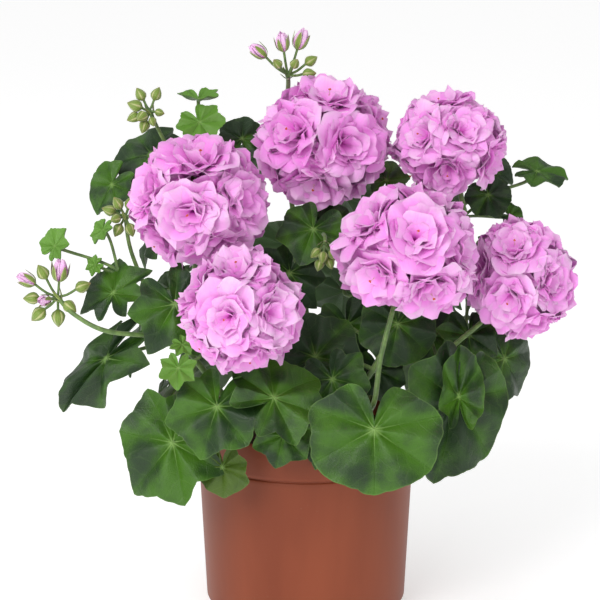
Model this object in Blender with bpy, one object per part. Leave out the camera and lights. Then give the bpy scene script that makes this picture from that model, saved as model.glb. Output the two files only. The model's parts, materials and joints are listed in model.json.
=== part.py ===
"""A potted ivy geranium with six double flower heads: pot, soil, leafy stems, flower heads.

Lengths are in metres and Z is up. The layout below is written in millimetres, with the origin in the
middle of the pot's base, the front of the plant towards -Y and +X to the right. Each leafy stem is one
solid with its petioles, leaves, flower stalks and buds, and each flower head is one solid.
"""

import math
import random
from typing import NamedTuple

import bmesh
import bpy
from mathutils import Quaternion, Vector

MM = 0.001

# Gap kept between pieces that touch, and the room that a few-sided hole needs round a few-sided stem.
GAP = 0.3
HOLE_ROOM = 1.3 * GAP

# The pot, from its foot to its rim.
POT_SIDES = 28
POT_HEIGHT = 112.0
POT_WALL = 1.6
POT_FLOOR = 2.0
EDGE = 0.8
FOOT_HEIGHT = 6.0
FOOT_RADIUS = 55.0
FOOT_FLARE = 1.2
BODY_LOW_RADIUS = 57.4
STEP_HEIGHT = 91.0
BODY_TOP_RADIUS = 61.4
STEP_DEPTH = 0.8
STEP_RISE = 1.4
RIM_LOW_RADIUS = 62.0
RIM_TOP_RADIUS = 64.0
INNER_LOW_RADIUS = 53.0
INNER_TOP_RADIUS = BODY_TOP_RADIUS - STEP_DEPTH - POT_WALL
DRAIN_COUNT = 6
DRAIN_RADIUS = 5.0
DRAIN_SIDES = 6
DRAIN_CIRCLE = 34.0

# The soil's surface is a low crown.
SOIL_TOP = 101.0
SOIL_CROWN = 2.0
SOIL_CROWN_SHARE = 0.6

# Stems and flower stalks are few-sided tubes that get thinner upwards.
STEM_SIDES = 5
STEM_STEPS = 7
STEM_TAPER = 0.6
STALK_SIDES = 5
STALK_TAPER = 0.85

# A petiole leaves its stem outwards and upwards, and meets its blade from behind.
PETIOLE_SIDES = 3
PETIOLE_RADIUS = 1.15
PETIOLE_OUTWARD = 0.25
PETIOLE_RISE = 0.22
PETIOLE_APPROACH = 0.3
PETIOLE_APPROACH_MOST = 12.0
SHORT_PETIOLE = 32.0

# A leaf has seven lobes, as degrees round from the middle lobe and length over the middle lobe's.
# Their tips sway a little to the side, and no two are quite as long.
LOBES = ((0, 1.0), (57, 0.98), (108, 0.92), (150, 0.76), (210, 0.76), (252, 0.92), (303, 0.98))
LOBE_SWAY = 4.0
LOBE_LENGTHS = (0.94, 1.04)

# A notch lies between two lobes, less deep on a fuller leaf, and the deep one opposite the middle lobe.
NOTCH_LEAST = 0.55
NOTCH_MORE = 0.34
NOTCH_LENGTHS = (0.95, 1.04)
DEEP_NOTCH_LOBE = 3
DEEP_NOTCH = 0.16

# The blade's thickness, and its folds between the lobes.
LEAF_THICKNESS = 1.0
FOLD_RISE = 0.07
FOLD_WIDTH = 28.0
LARGE_LEAF = 32.0
LARGE_INNER_RING = 0.5
YOUNG_LEAF = 19.0

# A bud is pointed, with its rings as place along it and radius, both over its length.
BUD_SIDES = 4
BUD_STALK_RADIUS = 0.75
BUD_RINGS = ((-0.22, 0.36), (0.15, 0.33))

# The stalk ends in a hole in the head's core, at this share of the head's radius from its middle.
CORE_SHARE = 0.46
CORE_SEAT = 0.26

# A floret's rings of points as (petals, turn, points of each petal), from its foot up and inwards.
# Each point is (share of the petal's angle, spread over height, height over the head's radius).
FLORET_EYE = 0.84
FLORET_LIP = 0.8
FLORET_RINGS = (
    (5, 0.0, ((0.0, 0.36, 0.5),)),
    (5, 0.0, ((-0.26, 0.60, 0.86), (0.26, 0.60, 0.86), (0.5, 0.49, 0.80))),
    (5, 0.0, ((0.0, 0.30, 0.68),)),
    (4, 0.1, ((-0.26, 0.36, 0.97), (0.26, 0.36, 0.97), (0.5, 0.26, 0.86))),
)

# Colours and roughness.
CLAY = (0.34, 0.09, 0.045, 1.0)
CLAY_ROUGHNESS = 0.5
SOIL_BROWN = (0.03, 0.018, 0.01, 1.0)
SOIL_ROUGHNESS = 0.95
LEAF_GREEN = (0.05, 0.15, 0.03, 1.0)
LEAF_ROUGHNESS = 0.45
PETAL_PINK = (0.72, 0.30, 0.66, 1.0)
PETAL_ROUGHNESS = 0.6


class Leaf(NamedTuple):
    """One leaf: where it leaves its stem, its hub, its size from hub to middle lobe, and its shape.

    Facing is the compass direction and the height of its upper face in degrees, with 0 to the front,
    and roll turns its middle lobe from straight down towards the right.
    """

    along: float
    hub: tuple
    size: float
    facing: tuple
    roll: float = 0.0
    cup: float = -0.1
    bend: float = 0.15
    fullness: float = 0.74
    width: float = 1.0


class Bud(NamedTuple):
    """One bud of a spray: its middle, from the end of the stalk, and its length."""

    offset: tuple
    length: float


class Stalk(NamedTuple):
    """A flower stalk: where it leaves its stem, the points that it passes, and its buds or flower head."""

    along: float
    points: tuple
    radius: float
    buds: tuple = ()
    head: str = ""


class Stem(NamedTuple):
    """One leafy stem: the points that it passes from the soil up, its leaves and its stalks."""

    name: str
    points: tuple
    radius: float
    leaves: tuple
    stalks: tuple


class Head(NamedTuple):
    """One flower head: its middle, its three radii, and its spin round the stalk that carries it."""

    name: str
    middle: tuple
    radii: tuple
    spin: float


STEMS = (
    Stem(
        "stem_front_left",
        ((-20, -22, 84), (-24, -30, 112), (-32, -42, 136), (-40, -50, 156), (-50, -52, 168)),
        2.3,
        (
            Leaf(0.50, (-72, -64, 115), 36, (-18, 20), -40),
            Leaf(0.60, (-47, -80, 140), 29, (-6, 26), -15),
            Leaf(0.55, (-17, -84, 146), 31, (4, 44), 126),
            Leaf(0.45, (-45, -72, 104), 17, (-16, 4), 0, -0.05, 0.1, 1.1, 0.95),
            Leaf(0.40, (-12, -76, 123), 18, (0, 16), -10),
            Leaf(0.85, (-67, -80, 161), 12, (-8, 30), 0, 0.1, 0, 0.5),
            Leaf(0.95, (-66, -62, 169), 8, (10, 40), 30, 0.1, 0, 0.5),
        ),
        (
            Stalk(0.45, ((-33, -62, 152), (-34, -78, 176)), 1.5, head="head_lower_left"),
            Stalk(
                0.90,
                ((-62, -44, 165), (-82, -40, 168), (-108, -48, 173), (-126, -42, 181), (-135, -36, 189)),
                1.5,
                (
                    Bud((-16, -2, 10), 10),
                    Bud((-8, 0, 14), 9),
                    Bud((2, -3, 15), 12),
                    Bud((14, 0, 6), 9),
                    Bud((-14, -3, 0), 9),
                    Bud((-6, -8, 0), 8),
                    Bud((7, -3, -5), 9),
                    Bud((-11, 0, -10), 10),
                    Bud((0, 0, -12), 10),
                ),
            ),
        ),
    ),
    Stem(
        "stem_left",
        ((-32, 0, 84), (-42, -4, 116), (-62, -8, 146), (-84, -12, 176), (-104, -14, 200)),
        2.2,
        (
            Leaf(0.55, (-112, -15, 149), 55, (-38, 12), -46, -0.15, 0.05, 0.6, 0.33),
            Leaf(0.70, (-71, -44, 187), 31, (-8, 22), 28, -0.1, 0.1, 0.6),
            Leaf(0.80, (-106, -26, 189), 25, (-35, 40), -160, -0.1, 0.1, 0.4),
            Leaf(0.90, (-116, -18, 203), 7, (-30, 30), -60, 0.1, 0, 0.4),
            Leaf(0.95, (-138, -20, 214), 12, (-40, 30), 160, 0.1, 0, 0.7),
            Leaf(1.00, (-112, -14, 222), 10, (-50, 35), 0, 0.1, 0, 0.6, 0.9),
            Leaf(0.60, (-96, 14, 156), 26, (276, 24), 8),
        ),
        (
            Stalk(
                0.75,
                ((-97, -8, 208), (-100, -8, 229)),
                1.3,
                (
                    Bud((-9, -1, 3), 8),
                    Bud((-4, -1, 7), 8),
                    Bud((3, 0, 7), 8),
                    Bud((7, -2, 0), 8),
                    Bud((3, -2, -8), 8),
                    Bud((-4, -3, -8), 8),
                    Bud((-5, -6, -1), 7),
                ),
            ),
        ),
    ),
    Stem(
        "stem_upper_left",
        ((-16, 14, 84), (-26, 18, 130), (-42, 20, 180), (-58, 22, 225), (-62, 22, 262)),
        2.2,
        (
            Leaf(0.85, (-88, 28, 258), 27, (-30, 50), -75, -0.1, 0.1),
            Leaf(0.75, (-109, 12, 243), 20, (-38, 25), -30, -0.1, 0.1, 0.8),
            Leaf(1.00, (-60, 16, 291), 13, (10, 76), 0, 0.35, 0, 0.7),
            Leaf(0.95, (-59, 6, 279), 15, (0, 35), 32, 0.05, 0, 0.8),
            Leaf(0.90, (-36, 24, 267), 17, (10, 40), 170, -0.05, 0.1, 0.7),
            Leaf(0.65, (-86, 36, 212), 24, (280, 34)),
        ),
        (
            Stalk(0.55, ((-62, -2, 192), (-59, -16, 210)), 1.7, head="head_left"),
            Stalk(
                0.90,
                ((-77, 14, 264), (-87, 10, 285)),
                1.2,
                (
                    Bud((-5, 0, 9), 8),
                    Bud((4, 2, 9), 8),
                    Bud((-8, -2, 3), 9),
                    Bud((-9, -1, -4), 8),
                    Bud((-4, -6, -3), 8),
                    Bud((-3, -2, -9), 8),
                    Bud((2, -4, -6), 6),
                    Bud((6, -3, -1), 6),
                ),
            ),
        ),
    ),
    Stem(
        "stem_back",
        ((8, 24, 84), (4, 34, 130), (-2, 42, 180), (-8, 44, 226), (-12, 44, 258)),
        2.2,
        (
            Leaf(0.60, (4, -22, 224), 22, (0, 32), -25, -0.1, 0.15, 0.85),
            Leaf(0.45, (-9, -6, 196), 24, (-12, 20), -20),
            Leaf(0.50, (-8, 74, 196), 32, (176, 34), 12),
            Leaf(0.70, (24, 70, 226), 28, (162, 44), -20),
            Leaf(0.85, (-26, 68, 250), 25, (190, 50), 15),
            Leaf(0.95, (12, 58, 268), 19, (168, 55), -35),
            Leaf(0.62, (14, 4, 216), 20, (10, 30), 150, -0.1, 0.15, 0.9),
        ),
        (
            Stalk(0.65, ((2, 32, 222), (6, 16, 238)), 1.7, head="head_top"),
            Stalk(
                0.95,
                ((-12, 40, 280), (-10, 24, 296), (-10, 16, 304)),
                1.5,
                (
                    Bud((-16, 0, 13), 10),
                    Bud((-3, -4, 18), 10),
                    Bud((7, 2, 19), 11),
                    Bud((-6, -6, 7), 7),
                    Bud((4, -6, 7), 7),
                    Bud((13, 0, 8), 8),
                    Bud((12, -3, 1), 8),
                ),
            ),
            Stalk(
                0.50,
                ((6, 2, 214), (10, -30, 222), (10, -38, 218)),
                1.1,
                (
                    Bud((-5, -2, -4), 7),
                    Bud((-1, -4, -6), 7),
                    Bud((5, -2, -5), 7),
                    Bud((3, 0, -10), 7),
                    Bud((-3, 0, -11), 7),
                ),
            ),
        ),
    ),
    Stem(
        "stem_upper_right",
        ((24, 10, 84), (38, 14, 130), (58, 16, 172), (76, 16, 208), (90, 20, 232)),
        2.2,
        (
            Leaf(0.95, (131, 22, 249), 21, (20, 64), 75, -0.1, 0.1, 0.9, 0.75),
            Leaf(0.90, (108, 38, 247), 15, (20, 40), 60),
            Leaf(0.80, (103, 18, 236), 15, (10, 30), 20, -0.05, 0.1, 1.2),
            Leaf(0.85, (117, 28, 222), 9, (25, 25), 60, 0.1, 0),
            Leaf(0.60, (103, 8, 210), 9, (20, 25), 20),
            Leaf(0.70, (46, 26, 243), 15, (0, 35), 160),
            Leaf(0.45, (58, 56, 200), 29, (140, 34), 20),
            Leaf(0.70, (78, 58, 230), 23, (130, 42), -15),
            Leaf(0.55, (88, 34, 190), 26, (76, 34), -10),
        ),
        (
            Stalk(0.70, ((88, 4, 220), (86, 0, 240)), 1.7, head="head_upper_right"),
            Stalk(
                0.65,
                ((92, 14, 190), (97, 16, 204)),
                1.1,
                (
                    Bud((-3, 0, 1), 8),
                    Bud((3, -2, 5), 8),
                    Bud((9, -5, -2), 8),
                ),
            ),
        ),
    ),
    Stem(
        "stem_right",
        ((30, -14, 84), (42, -22, 114), (58, -28, 134), (78, -26, 148), (94, -14, 156)),
        2.2,
        (
            Leaf(0.55, (81, -58, 138), 46, (14, 14), -17, -0.12, 0.12, 1, 0.72),
            Leaf(0.70, (82, -61, 140), 28, (20, 30), 168, 0.15, 0, 1, 0.5),
            Leaf(0.95, (112, -8, 147), 28, (38, 16), 34, -0.15),
            Leaf(0.85, (90, -25, 165), 21, (16, 30)),
            Leaf(0.80, (106, 26, 146), 31, (80, 26), -12),
            Leaf(0.30, (86, 14, 124), 28, (76, 12), 6),
            Leaf(0.70, (71, -6, 160), 22, (10, 20), 10, -0.1, 0.15, 1),
            Leaf(0.90, (100, 24, 178), 22, (88, 30), 5),
        ),
        (Stalk(0.60, ((77, -36, 158), (96, -32, 174)), 1.5, head="head_right"),),
    ),
    Stem(
        "stem_front",
        ((6, -26, 84), (12, -38, 112), (22, -46, 132), (34, -48, 148), (42, -40, 160)),
        2.2,
        (
            Leaf(0.55, (35, -102, 134), 35, (2, 22), -3, -0.1, 0.1, 1.15, 1.08),
            Leaf(0.90, (50, -36, 174), 24, (8, 20), -10, -0.1, 0.15, 1.2),
            Leaf(0.80, (5, -46, 158), 28, (-6, 26), 140, -0.1, 0.15, 0.95),
            Leaf(0.60, (14, -62, 150), 23, (6, 16), 20),
            Leaf(0.45, (6, -68, 119), 18, (10, 4), 0, -0.05, 0.1, 0.9, 0.5),
            Leaf(0.70, (40, -30, 146), 18, (4, 20), 10),
            Leaf(0.95, (23, -14, 168), 22, (4, 18), 14, -0.1, 0.15, 0.9),
        ),
        (Stalk(0.45, ((34, -84, 140), (39, -74, 164), (45, -66, 186)), 1.5, head="head_centre_right"),),
    ),
    Stem(
        "stem_rear_left",
        ((-26, 34, 84), (-36, 42, 118), (-52, 50, 146), (-62, 54, 176), (-66, 52, 204)),
        2.2,
        (
            Leaf(0.45, (-52, 90, 128), 33, (202, 18), 8),
            Leaf(0.60, (-74, 62, 114), 28, (242, 20), -8),
            Leaf(0.70, (-54, 88, 168), 29, (196, 32), -14),
            Leaf(0.80, (-82, 56, 174), 27, (236, 34), 12),
            Leaf(0.95, (-72, 68, 220), 25, (214, 46), 10),
            Leaf(0.55, (-86, 16, 112), 26, (272, 14), 4),
        ),
        (),
    ),
    Stem(
        "stem_rear_right",
        ((30, 28, 84), (38, 36, 112), (48, 46, 134), (54, 56, 152), (54, 60, 164)),
        2.2,
        (
            Leaf(0.50, (14, 92, 126), 33, (176, 16), -6),
            Leaf(0.60, (68, 84, 128), 33, (146, 16), 8),
            Leaf(0.70, (92, 58, 146), 29, (118, 22), -8),
            Leaf(0.90, (24, 92, 164), 27, (168, 28), 10),
            Leaf(0.95, (74, 80, 170), 26, (142, 34), -6),
        ),
        (),
    ),
)

HEADS = (
    Head("head_left", (-57, -32, 240), (38, 36, 36), 10),
    Head("head_top", (10, 5, 268), (38, 36, 35), 40),
    Head("head_centre_right", (54, -64, 219), (37, 36, 36), 0),
    Head("head_lower_left", (-34, -86, 193), (31, 30, 32), 20),
    Head("head_upper_right", (80, -2, 267), (31, 30, 29), 50),
    Head("head_right", (116, -30, 198), (30, 30, 33), 30),
)
HEADS_BY_NAME = {head.name: head for head in HEADS}


def clear_scene():
    """Removes every object of the startup scene."""
    for obj in list(bpy.data.objects):
        bpy.data.objects.remove(obj, do_unlink=True)


def finish(name, colour, roughness):
    """A Principled material of one colour, without metal."""
    made = bpy.data.materials.new(name + "_finish")
    made.use_nodes = True
    shader = made.node_tree.nodes["Principled BSDF"]
    shader.inputs["Base Color"].default_value = colour
    shader.inputs["Roughness"].default_value = roughness
    shader.inputs["Metallic"].default_value = 0.0
    return made


def mesh_object(name, points, faces, place=(0, 0, 0)):
    """An object at a place, with a mesh from points and faces. All are in the plant's millimetres."""
    origin = Vector(place)
    mesh = bpy.data.meshes.new(name)
    mesh.from_pydata([(Vector(point) - origin) * MM for point in points], [], faces)
    mesh.update()
    obj = bpy.data.objects.new(name, mesh)
    obj.location = origin * MM
    bpy.context.scene.collection.objects.link(obj)
    return obj


def shade_round(obj, degrees):
    """Shades an object smooth, and keeps the edges that are sharper than so many degrees."""
    obj.data.shade_smooth()
    obj.data.set_sharp_from_angle(angle=math.radians(degrees))


def boolean(obj, operation, helpers, solver="EXACT"):
    """Joins or cuts the object with its helpers in one step, applies it and removes the helpers."""
    group = bpy.data.collections.new(obj.name + "_helpers")
    bpy.context.scene.collection.children.link(group)
    for helper in helpers:
        helper.hide_render = True
        helper.display_type = "WIRE"
        group.objects.link(helper)
    modifier = obj.modifiers.new(operation, "BOOLEAN")
    modifier.operation = operation
    modifier.operand_type = "COLLECTION"
    modifier.collection = group
    modifier.solver = solver
    graph = bpy.context.evaluated_depsgraph_get()
    mesh = bpy.data.meshes.new_from_object(obj.evaluated_get(graph))
    obj.modifiers.clear()
    obj.data = mesh
    for helper in helpers:
        bpy.data.objects.remove(helper, do_unlink=True)
    bpy.data.collections.remove(group)


def drop_loose_scraps(obj):
    """Keeps the largest connected body of a mesh and deletes the rest."""
    mesh = bmesh.new()
    mesh.from_mesh(obj.data)
    left = set(mesh.verts)
    bodies = []
    while left:
        body = {left.pop()}
        front = list(body)
        while front:
            vertex = front.pop()
            for edge in vertex.link_edges:
                other = edge.other_vert(vertex)
                if other not in body:
                    body.add(other)
                    front.append(other)
        left -= body
        bodies.append(body)
    bodies.sort(key=len)
    for body in bodies[:-1]:
        bmesh.ops.delete(mesh, geom=list(body), context="VERTS")
    mesh.to_mesh(obj.data)
    mesh.free()


def spokes(side_axis, cross_axis, count):
    """Unit directions evenly round, from the side axis towards the cross axis."""
    angles = [math.tau * index / count for index in range(count)]
    return [side_axis * math.cos(angle) + cross_axis * math.sin(angle) for angle in angles]


def turned(name, profile, sides):
    """A solid turned round Z from (radius, height) points, up the outside, first and last on the axis."""
    points = [(0, 0, profile[0][1])]
    for radius, height in profile[1:-1]:
        for spoke in spokes(Vector((1, 0, 0)), Vector((0, 1, 0)), sides):
            points.append((radius * spoke.x, radius * spoke.y, height))
    points.append((0, 0, profile[-1][1]))
    last = len(points) - 1
    rings = len(profile) - 2
    top = 1 + (rings - 1) * sides
    faces = []
    for side in range(sides):
        after = (side + 1) % sides
        faces.append((0, 1 + after, 1 + side))
        for ring in range(rings - 1):
            low = 1 + ring * sides
            high = low + sides
            faces.append((low + side, low + after, high + after, high + side))
        faces.append((top + side, top + after, last))
    return mesh_object(name, points, faces)


def upright_cylinder(name, middle, radius, low, high):
    """A plain upright cylinder, as a cutter."""
    cutter = turned(name, ((0, low), (radius, low), (radius, high), (0, high)), DRAIN_SIDES)
    cutter.location = (middle[0] * MM, middle[1] * MM, 0)
    return cutter


def spline_point(points, share):
    """The point at a share of the smooth curve through the points."""
    spans = len(points) - 1
    place = min(max(share, 0.0), 1.0) * spans
    index = min(int(place), spans - 1)
    t = place - index
    before = Vector(points[max(index - 1, 0)])
    start = Vector(points[index])
    end = Vector(points[index + 1])
    after = Vector(points[min(index + 2, spans)])
    return 0.5 * (
        2 * start
        + (end - before) * t
        + (2 * before - 5 * start + 4 * end - after) * t * t
        + (3 * start - before - 3 * end + after) * t * t * t
    )


def smooth_path(points, steps):
    """Points along the smooth curve through the points."""
    return [spline_point(points, step / steps) for step in range(steps + 1)]


def tapered(count, radius, taper):
    """Radii that run evenly from one radius to its tapered share."""
    return [radius * (1 + (taper - 1) * index / (count - 1)) for index in range(count)]


def rings_along(path, radii, sides, side_axis, first_way):
    """Rings of points round a path, with little twist from one to the next."""
    rings = []
    last = len(path) - 1
    way = first_way
    for index, middle in enumerate(path):
        if index > 0:
            way = path[min(index + 1, last)] - path[index - 1]
        way = way.normalized()
        side_axis = (side_axis - way * side_axis.dot(way)).normalized()
        ring = [middle + spoke * radii[index] for spoke in spokes(side_axis, way.cross(side_axis), sides)]
        rings.append(ring)
    return rings


def tube(name, path, radii, sides, place=(0, 0, 0)):
    """A closed tube along a path, with one radius for each of its points."""
    side_axis = Vector((1.0, 0.013, 0.0))
    rings = rings_along(path, radii, sides, side_axis, path[1] - path[0])
    points = [point for ring in rings for point in ring]
    faces = [tuple(reversed(range(sides)))]
    for index in range(len(path) - 1):
        low = index * sides
        high = low + sides
        for side in range(sides):
            after = (side + 1) % sides
            faces.append((low + side, low + after, high + after, high + side))
    faces.append(tuple(range(len(points) - sides, len(points))))
    return mesh_object(name, points, faces, place)


def stitch(low, high):
    """Triangles that join two rings of points, also where one has more points than the other."""
    faces = []
    here = 0
    above = 0
    while here < len(low) or above < len(high):
        start = low[here % len(low)]
        end = high[above % len(high)]
        if (here + 1) * len(high) <= (above + 1) * len(low):
            faces.append((start, low[(here + 1) % len(low)], end))
            here += 1
        else:
            faces.append((start, high[(above + 1) % len(high)], end))
            above += 1
    return faces


def flipped(faces):
    """The same faces seen from the other side."""
    return [tuple(reversed(corners)) for corners in faces]


def leaf_frame(facing, roll):
    """The leaf's normal, the direction of its middle lobe and the direction across it."""
    compass = math.radians(facing[0])
    height = math.radians(facing[1])
    level_way = Vector((math.sin(compass), -math.cos(compass), 0))
    normal = level_way * math.cos(height) + Vector((0, 0, math.sin(height)))
    level = Vector((0, 0, 1)).cross(normal).normalized()
    down = level.cross(normal).normalized()
    if down.z > 0:
        down.negate()
    turn = math.radians(roll)
    tip = down * math.cos(turn) + level * math.sin(turn)
    return normal, tip, normal.cross(tip)


def degrees_apart(first, second):
    """The angle between two directions in the leaf's plane, from 0 to 180."""
    return abs((first - second + 180) % 360 - 180)


def leaf_corners(leaf, draw):
    """The corners of the blade, each as degrees from the middle lobe and reach over the leaf's size.

    They run all round, a notch after each lobe's tip, from the first notch to the middle lobe's tip.
    A young leaf is small and only has its tips and the deep notch.
    """
    tips = []
    for centre, length in LOBES:
        tips.append((centre + draw.uniform(-LOBE_SWAY, LOBE_SWAY), length * draw.uniform(*LOBE_LENGTHS)))
    corners = []
    for index, (degrees, length) in enumerate(tips):
        after_degrees, after_length = tips[(index + 1) % len(tips)]
        gap = (after_degrees - degrees) % 360
        share = (NOTCH_LEAST + NOTCH_MORE * leaf.fullness) * draw.uniform(*NOTCH_LENGTHS)
        if index == DEEP_NOTCH_LOBE:
            share = DEEP_NOTCH
        corners.append((degrees, length))
        if leaf.size >= YOUNG_LEAF or index == DEEP_NOTCH_LOBE:
            corners.append((degrees + gap / 2, share * (length + after_length) / 2))
    return corners[1:] + corners[:1]


def leaf_rise(reach, degrees, leaf):
    """Height of the blade over the plane of its hub, over the leaf's size: cup, fall and folds."""
    along = max(reach * math.cos(math.radians(degrees)), 0)
    nearest = min(degrees_apart(degrees, centre) for centre, _ in LOBES)
    fold = FOLD_RISE * reach * min(nearest / FOLD_WIDTH, 1.0)
    return leaf.cup * reach**2 - leaf.bend * along**2 + fold


def blade_ring(leaf, share, corners):
    """Points of the blade's upper face at a share of the way from its hub to its corners."""
    normal, tip, across = leaf_frame(leaf.facing, leaf.roll)
    found = []
    for degrees, corner_reach in corners:
        angle = math.radians(degrees)
        reach = share * corner_reach
        flat = tip * math.cos(angle) + across * (math.sin(angle) * leaf.width)
        rise = leaf_rise(reach, degrees, leaf)
        found.append(Vector(leaf.hub) + (flat * reach + normal * rise) * leaf.size)
    return found


def petiole_path(start, end, normal):
    """Points of a petiole, from the blade that it meets from behind down to the stem."""
    length = (end - start).length
    outward = Vector((end.x - start.x, end.y - start.y, 0)) * PETIOLE_OUTWARD
    first = start + outward + Vector((0, 0, PETIOLE_RISE * length))
    second = end - normal * min(PETIOLE_APPROACH * length, PETIOLE_APPROACH_MOST)
    steps = 2 if length < SHORT_PETIOLE else 3
    path = []
    for step in range(steps + 1):
        t = step / steps
        path.append(
            end * (1 - t) ** 3
            + second * (3 * t * (1 - t) ** 2)
            + first * (3 * t * t * (1 - t))
            + start * t**3
        )
    return path


def leaf_with_petiole(name, leaf, seed, start):
    """A leaf blade of even thickness that grows from its petiole, in one closed mesh."""
    normal, tip, _ = leaf_frame(leaf.facing, leaf.roll)
    corners = leaf_corners(leaf, random.Random(seed))
    rings = [blade_ring(leaf, 1.0, corners)]
    large = leaf.size >= LARGE_LEAF
    if large:
        rings.insert(0, blade_ring(leaf, LARGE_INNER_RING, corners[::2]))
    drop = normal * LEAF_THICKNESS
    hub = Vector(leaf.hub)
    path = petiole_path(start, hub - drop, normal)
    petiole = rings_along(path, tapered(len(path), PETIOLE_RADIUS, 1.25), PETIOLE_SIDES, tip, -normal)

    points = [hub]

    def add_ring(ring):
        numbers = list(range(len(points), len(points) + len(ring)))
        points.extend(ring)
        return numbers

    upper = [add_ring(ring) for ring in rings]
    lower = [add_ring([point - drop for point in ring]) for ring in rings]
    inner = upper[0]
    faces = [(0, corner, inner[(index + 1) % len(inner)]) for index, corner in enumerate(inner)]
    if large:
        faces += flipped(stitch(upper[0], upper[1]))
        faces += stitch(lower[0], lower[1])
    faces += flipped(stitch(upper[-1], lower[-1]))
    above = lower[0]
    for ring in petiole:
        numbers = add_ring(ring[:1] + ring[:0:-1])
        faces += stitch(numbers, above)
        above = numbers
    faces.append(tuple(reversed(above)))
    return mesh_object(name, points, faces)


def bud_on_stalk(name, node, bud):
    """A pointed bud on its own thin stalk, in one closed mesh."""
    offset = Vector(bud.offset)
    axis = offset.normalized()
    side_axis = axis.orthogonal().normalized()
    way_round = spokes(side_axis, axis.cross(side_axis), BUD_SIDES)
    middle = node + offset
    rings = [(node - axis * BUD_STALK_RADIUS, BUD_STALK_RADIUS)]
    rings.append((middle - axis * bud.length * 0.5, BUD_STALK_RADIUS))
    for place, radius in BUD_RINGS:
        rings.append((middle + axis * bud.length * place, bud.length * radius))
    points = [centre + spoke * radius for centre, radius in rings for spoke in way_round]
    points.append(middle + axis * bud.length * 0.5)
    faces = [tuple(reversed(range(BUD_SIDES)))]
    low = list(range(BUD_SIDES))
    for _ in rings[1:]:
        high = [number + BUD_SIDES for number in low]
        faces += stitch(low, high)
        low = high
    for side in range(BUD_SIDES):
        faces.append((low[side], low[(side + 1) % BUD_SIDES], len(points) - 1))
    return mesh_object(name, points, faces)


def stem_path(stem):
    """The points along a stem and its radius at each of them."""
    path = smooth_path(stem.points, STEM_STEPS)
    return path, tapered(len(path), stem.radius, STEM_TAPER)


def stalk_path(stem, stalk):
    """The points along a flower stalk from inside its stem, and its radius at each of them."""
    points = [spline_point(stem.points, stalk.along)] + [Vector(point) for point in stalk.points]
    if stalk.head:
        head = HEADS_BY_NAME[stalk.head]
        inward = Vector(head.middle) - points[-1]
        points.append(Vector(head.middle) - inward.normalized() * CORE_SEAT * min(head.radii))
    path = smooth_path(points, len(points) + 2)
    return path, tapered(len(path), stalk.radius, STALK_TAPER)


def leafy_stem(stem):
    """One stem with all that grows from it, in one solid."""
    path, radii = stem_path(stem)
    obj = tube(stem.name, path, radii, STEM_SIDES, stem.points[0])
    pieces = []
    for index, leaf in enumerate(stem.leaves):
        start = spline_point(stem.points, leaf.along)
        pieces.append(leaf_with_petiole(f"leaf_{index}", leaf, f"{stem.name} {index}", start))
    for index, stalk in enumerate(stem.stalks):
        path, radii = stalk_path(stem, stalk)
        pieces.append(tube(f"stalk_{index}", path, radii, STALK_SIDES))
        for place, bud in enumerate(stalk.buds):
            pieces.append(bud_on_stalk(f"bud_{index}_{place}", path[-1], bud))
    boolean(obj, "UNION", pieces, "MANIFOLD")
    drop_loose_scraps(obj)
    shade_round(obj, 45)
    return obj


def ball_cells():
    """The twelve even cells of a ball: each cell's direction, and the twenty corners' directions."""
    golden = (1 + math.sqrt(5)) / 2
    middles = []
    for first in (-1, 1):
        for second in (-golden, golden):
            middles.append(Vector((0, first, second)).normalized())
            middles.append(Vector((first, second, 0)).normalized())
            middles.append(Vector((second, 0, first)).normalized())
    corners = []
    for x in (-1, 1):
        for y in (-1, 1):
            corners += [Vector((x, y, z)).normalized() for z in (-1, 1)]
            corners.append(Vector((0, y * golden, x / golden)).normalized())
            corners.append(Vector((x / golden, 0, y * golden)).normalized())
            corners.append(Vector((y * golden, x / golden, 0)).normalized())
    return middles, corners


def cell_ring(axis, corners):
    """The numbers of the five corners round a cell in order, and the cell's two cross directions."""
    by_nearness = sorted(range(len(corners)), key=lambda number: -corners[number].dot(axis))
    near = by_nearness[:5]
    first = max(near, key=lambda number: corners[number].z)
    side_axis = (corners[first] - axis * corners[first].dot(axis)).normalized()
    cross_axis = axis.cross(side_axis)

    def turn_from_first(number):
        turn = math.atan2(corners[number].dot(cross_axis), corners[number].dot(side_axis))
        return (turn + 0.1) % math.tau

    near.sort(key=turn_from_first)
    return near, side_axis, cross_axis


def flower_head(head, stalk_way):
    """A ball of double florets, one on each cell of a small core but the one that the stalk enters."""
    middles, corners = ball_cells()
    down = -stalk_way.normalized()
    turn = Quaternion(down, math.radians(head.spin)) @ middles[0].rotation_difference(down)
    middles = [turn @ middle for middle in middles]
    corners = [turn @ corner for corner in corners]
    draw = random.Random(head.name)
    points = [corner * CORE_SHARE for corner in corners]
    faces = []
    for cell, axis in enumerate(middles):
        ring, side_axis, cross_axis = cell_ring(axis, corners)
        if cell == 0:
            faces.append(tuple(ring))
            continue
        size = draw.uniform(0.92, 1.0)
        for petals, turn_share, petal_points in FLORET_RINGS:
            made = []
            for petal in range(petals):
                stretch = draw.uniform(0.94, 1.05)
                for share, wide, tall in petal_points:
                    angle = math.tau * (petal + share + turn_share) / petals
                    spoke = side_axis * math.cos(angle) + cross_axis * math.sin(angle)
                    height = tall * stretch if tall > FLORET_LIP else tall
                    made.append(len(points))
                    points.append((axis + spoke * wide * size) * height)
            faces += stitch(ring, made)
            ring = made
        points.append(axis * FLORET_EYE)
        for index, corner in enumerate(ring):
            faces.append((corner, ring[(index + 1) % len(ring)], len(points) - 1))
    middle = Vector(head.middle)
    radii = Vector(head.radii)
    return mesh_object(head.name, [middle + point * radii for point in points], faces, head.middle)


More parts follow.
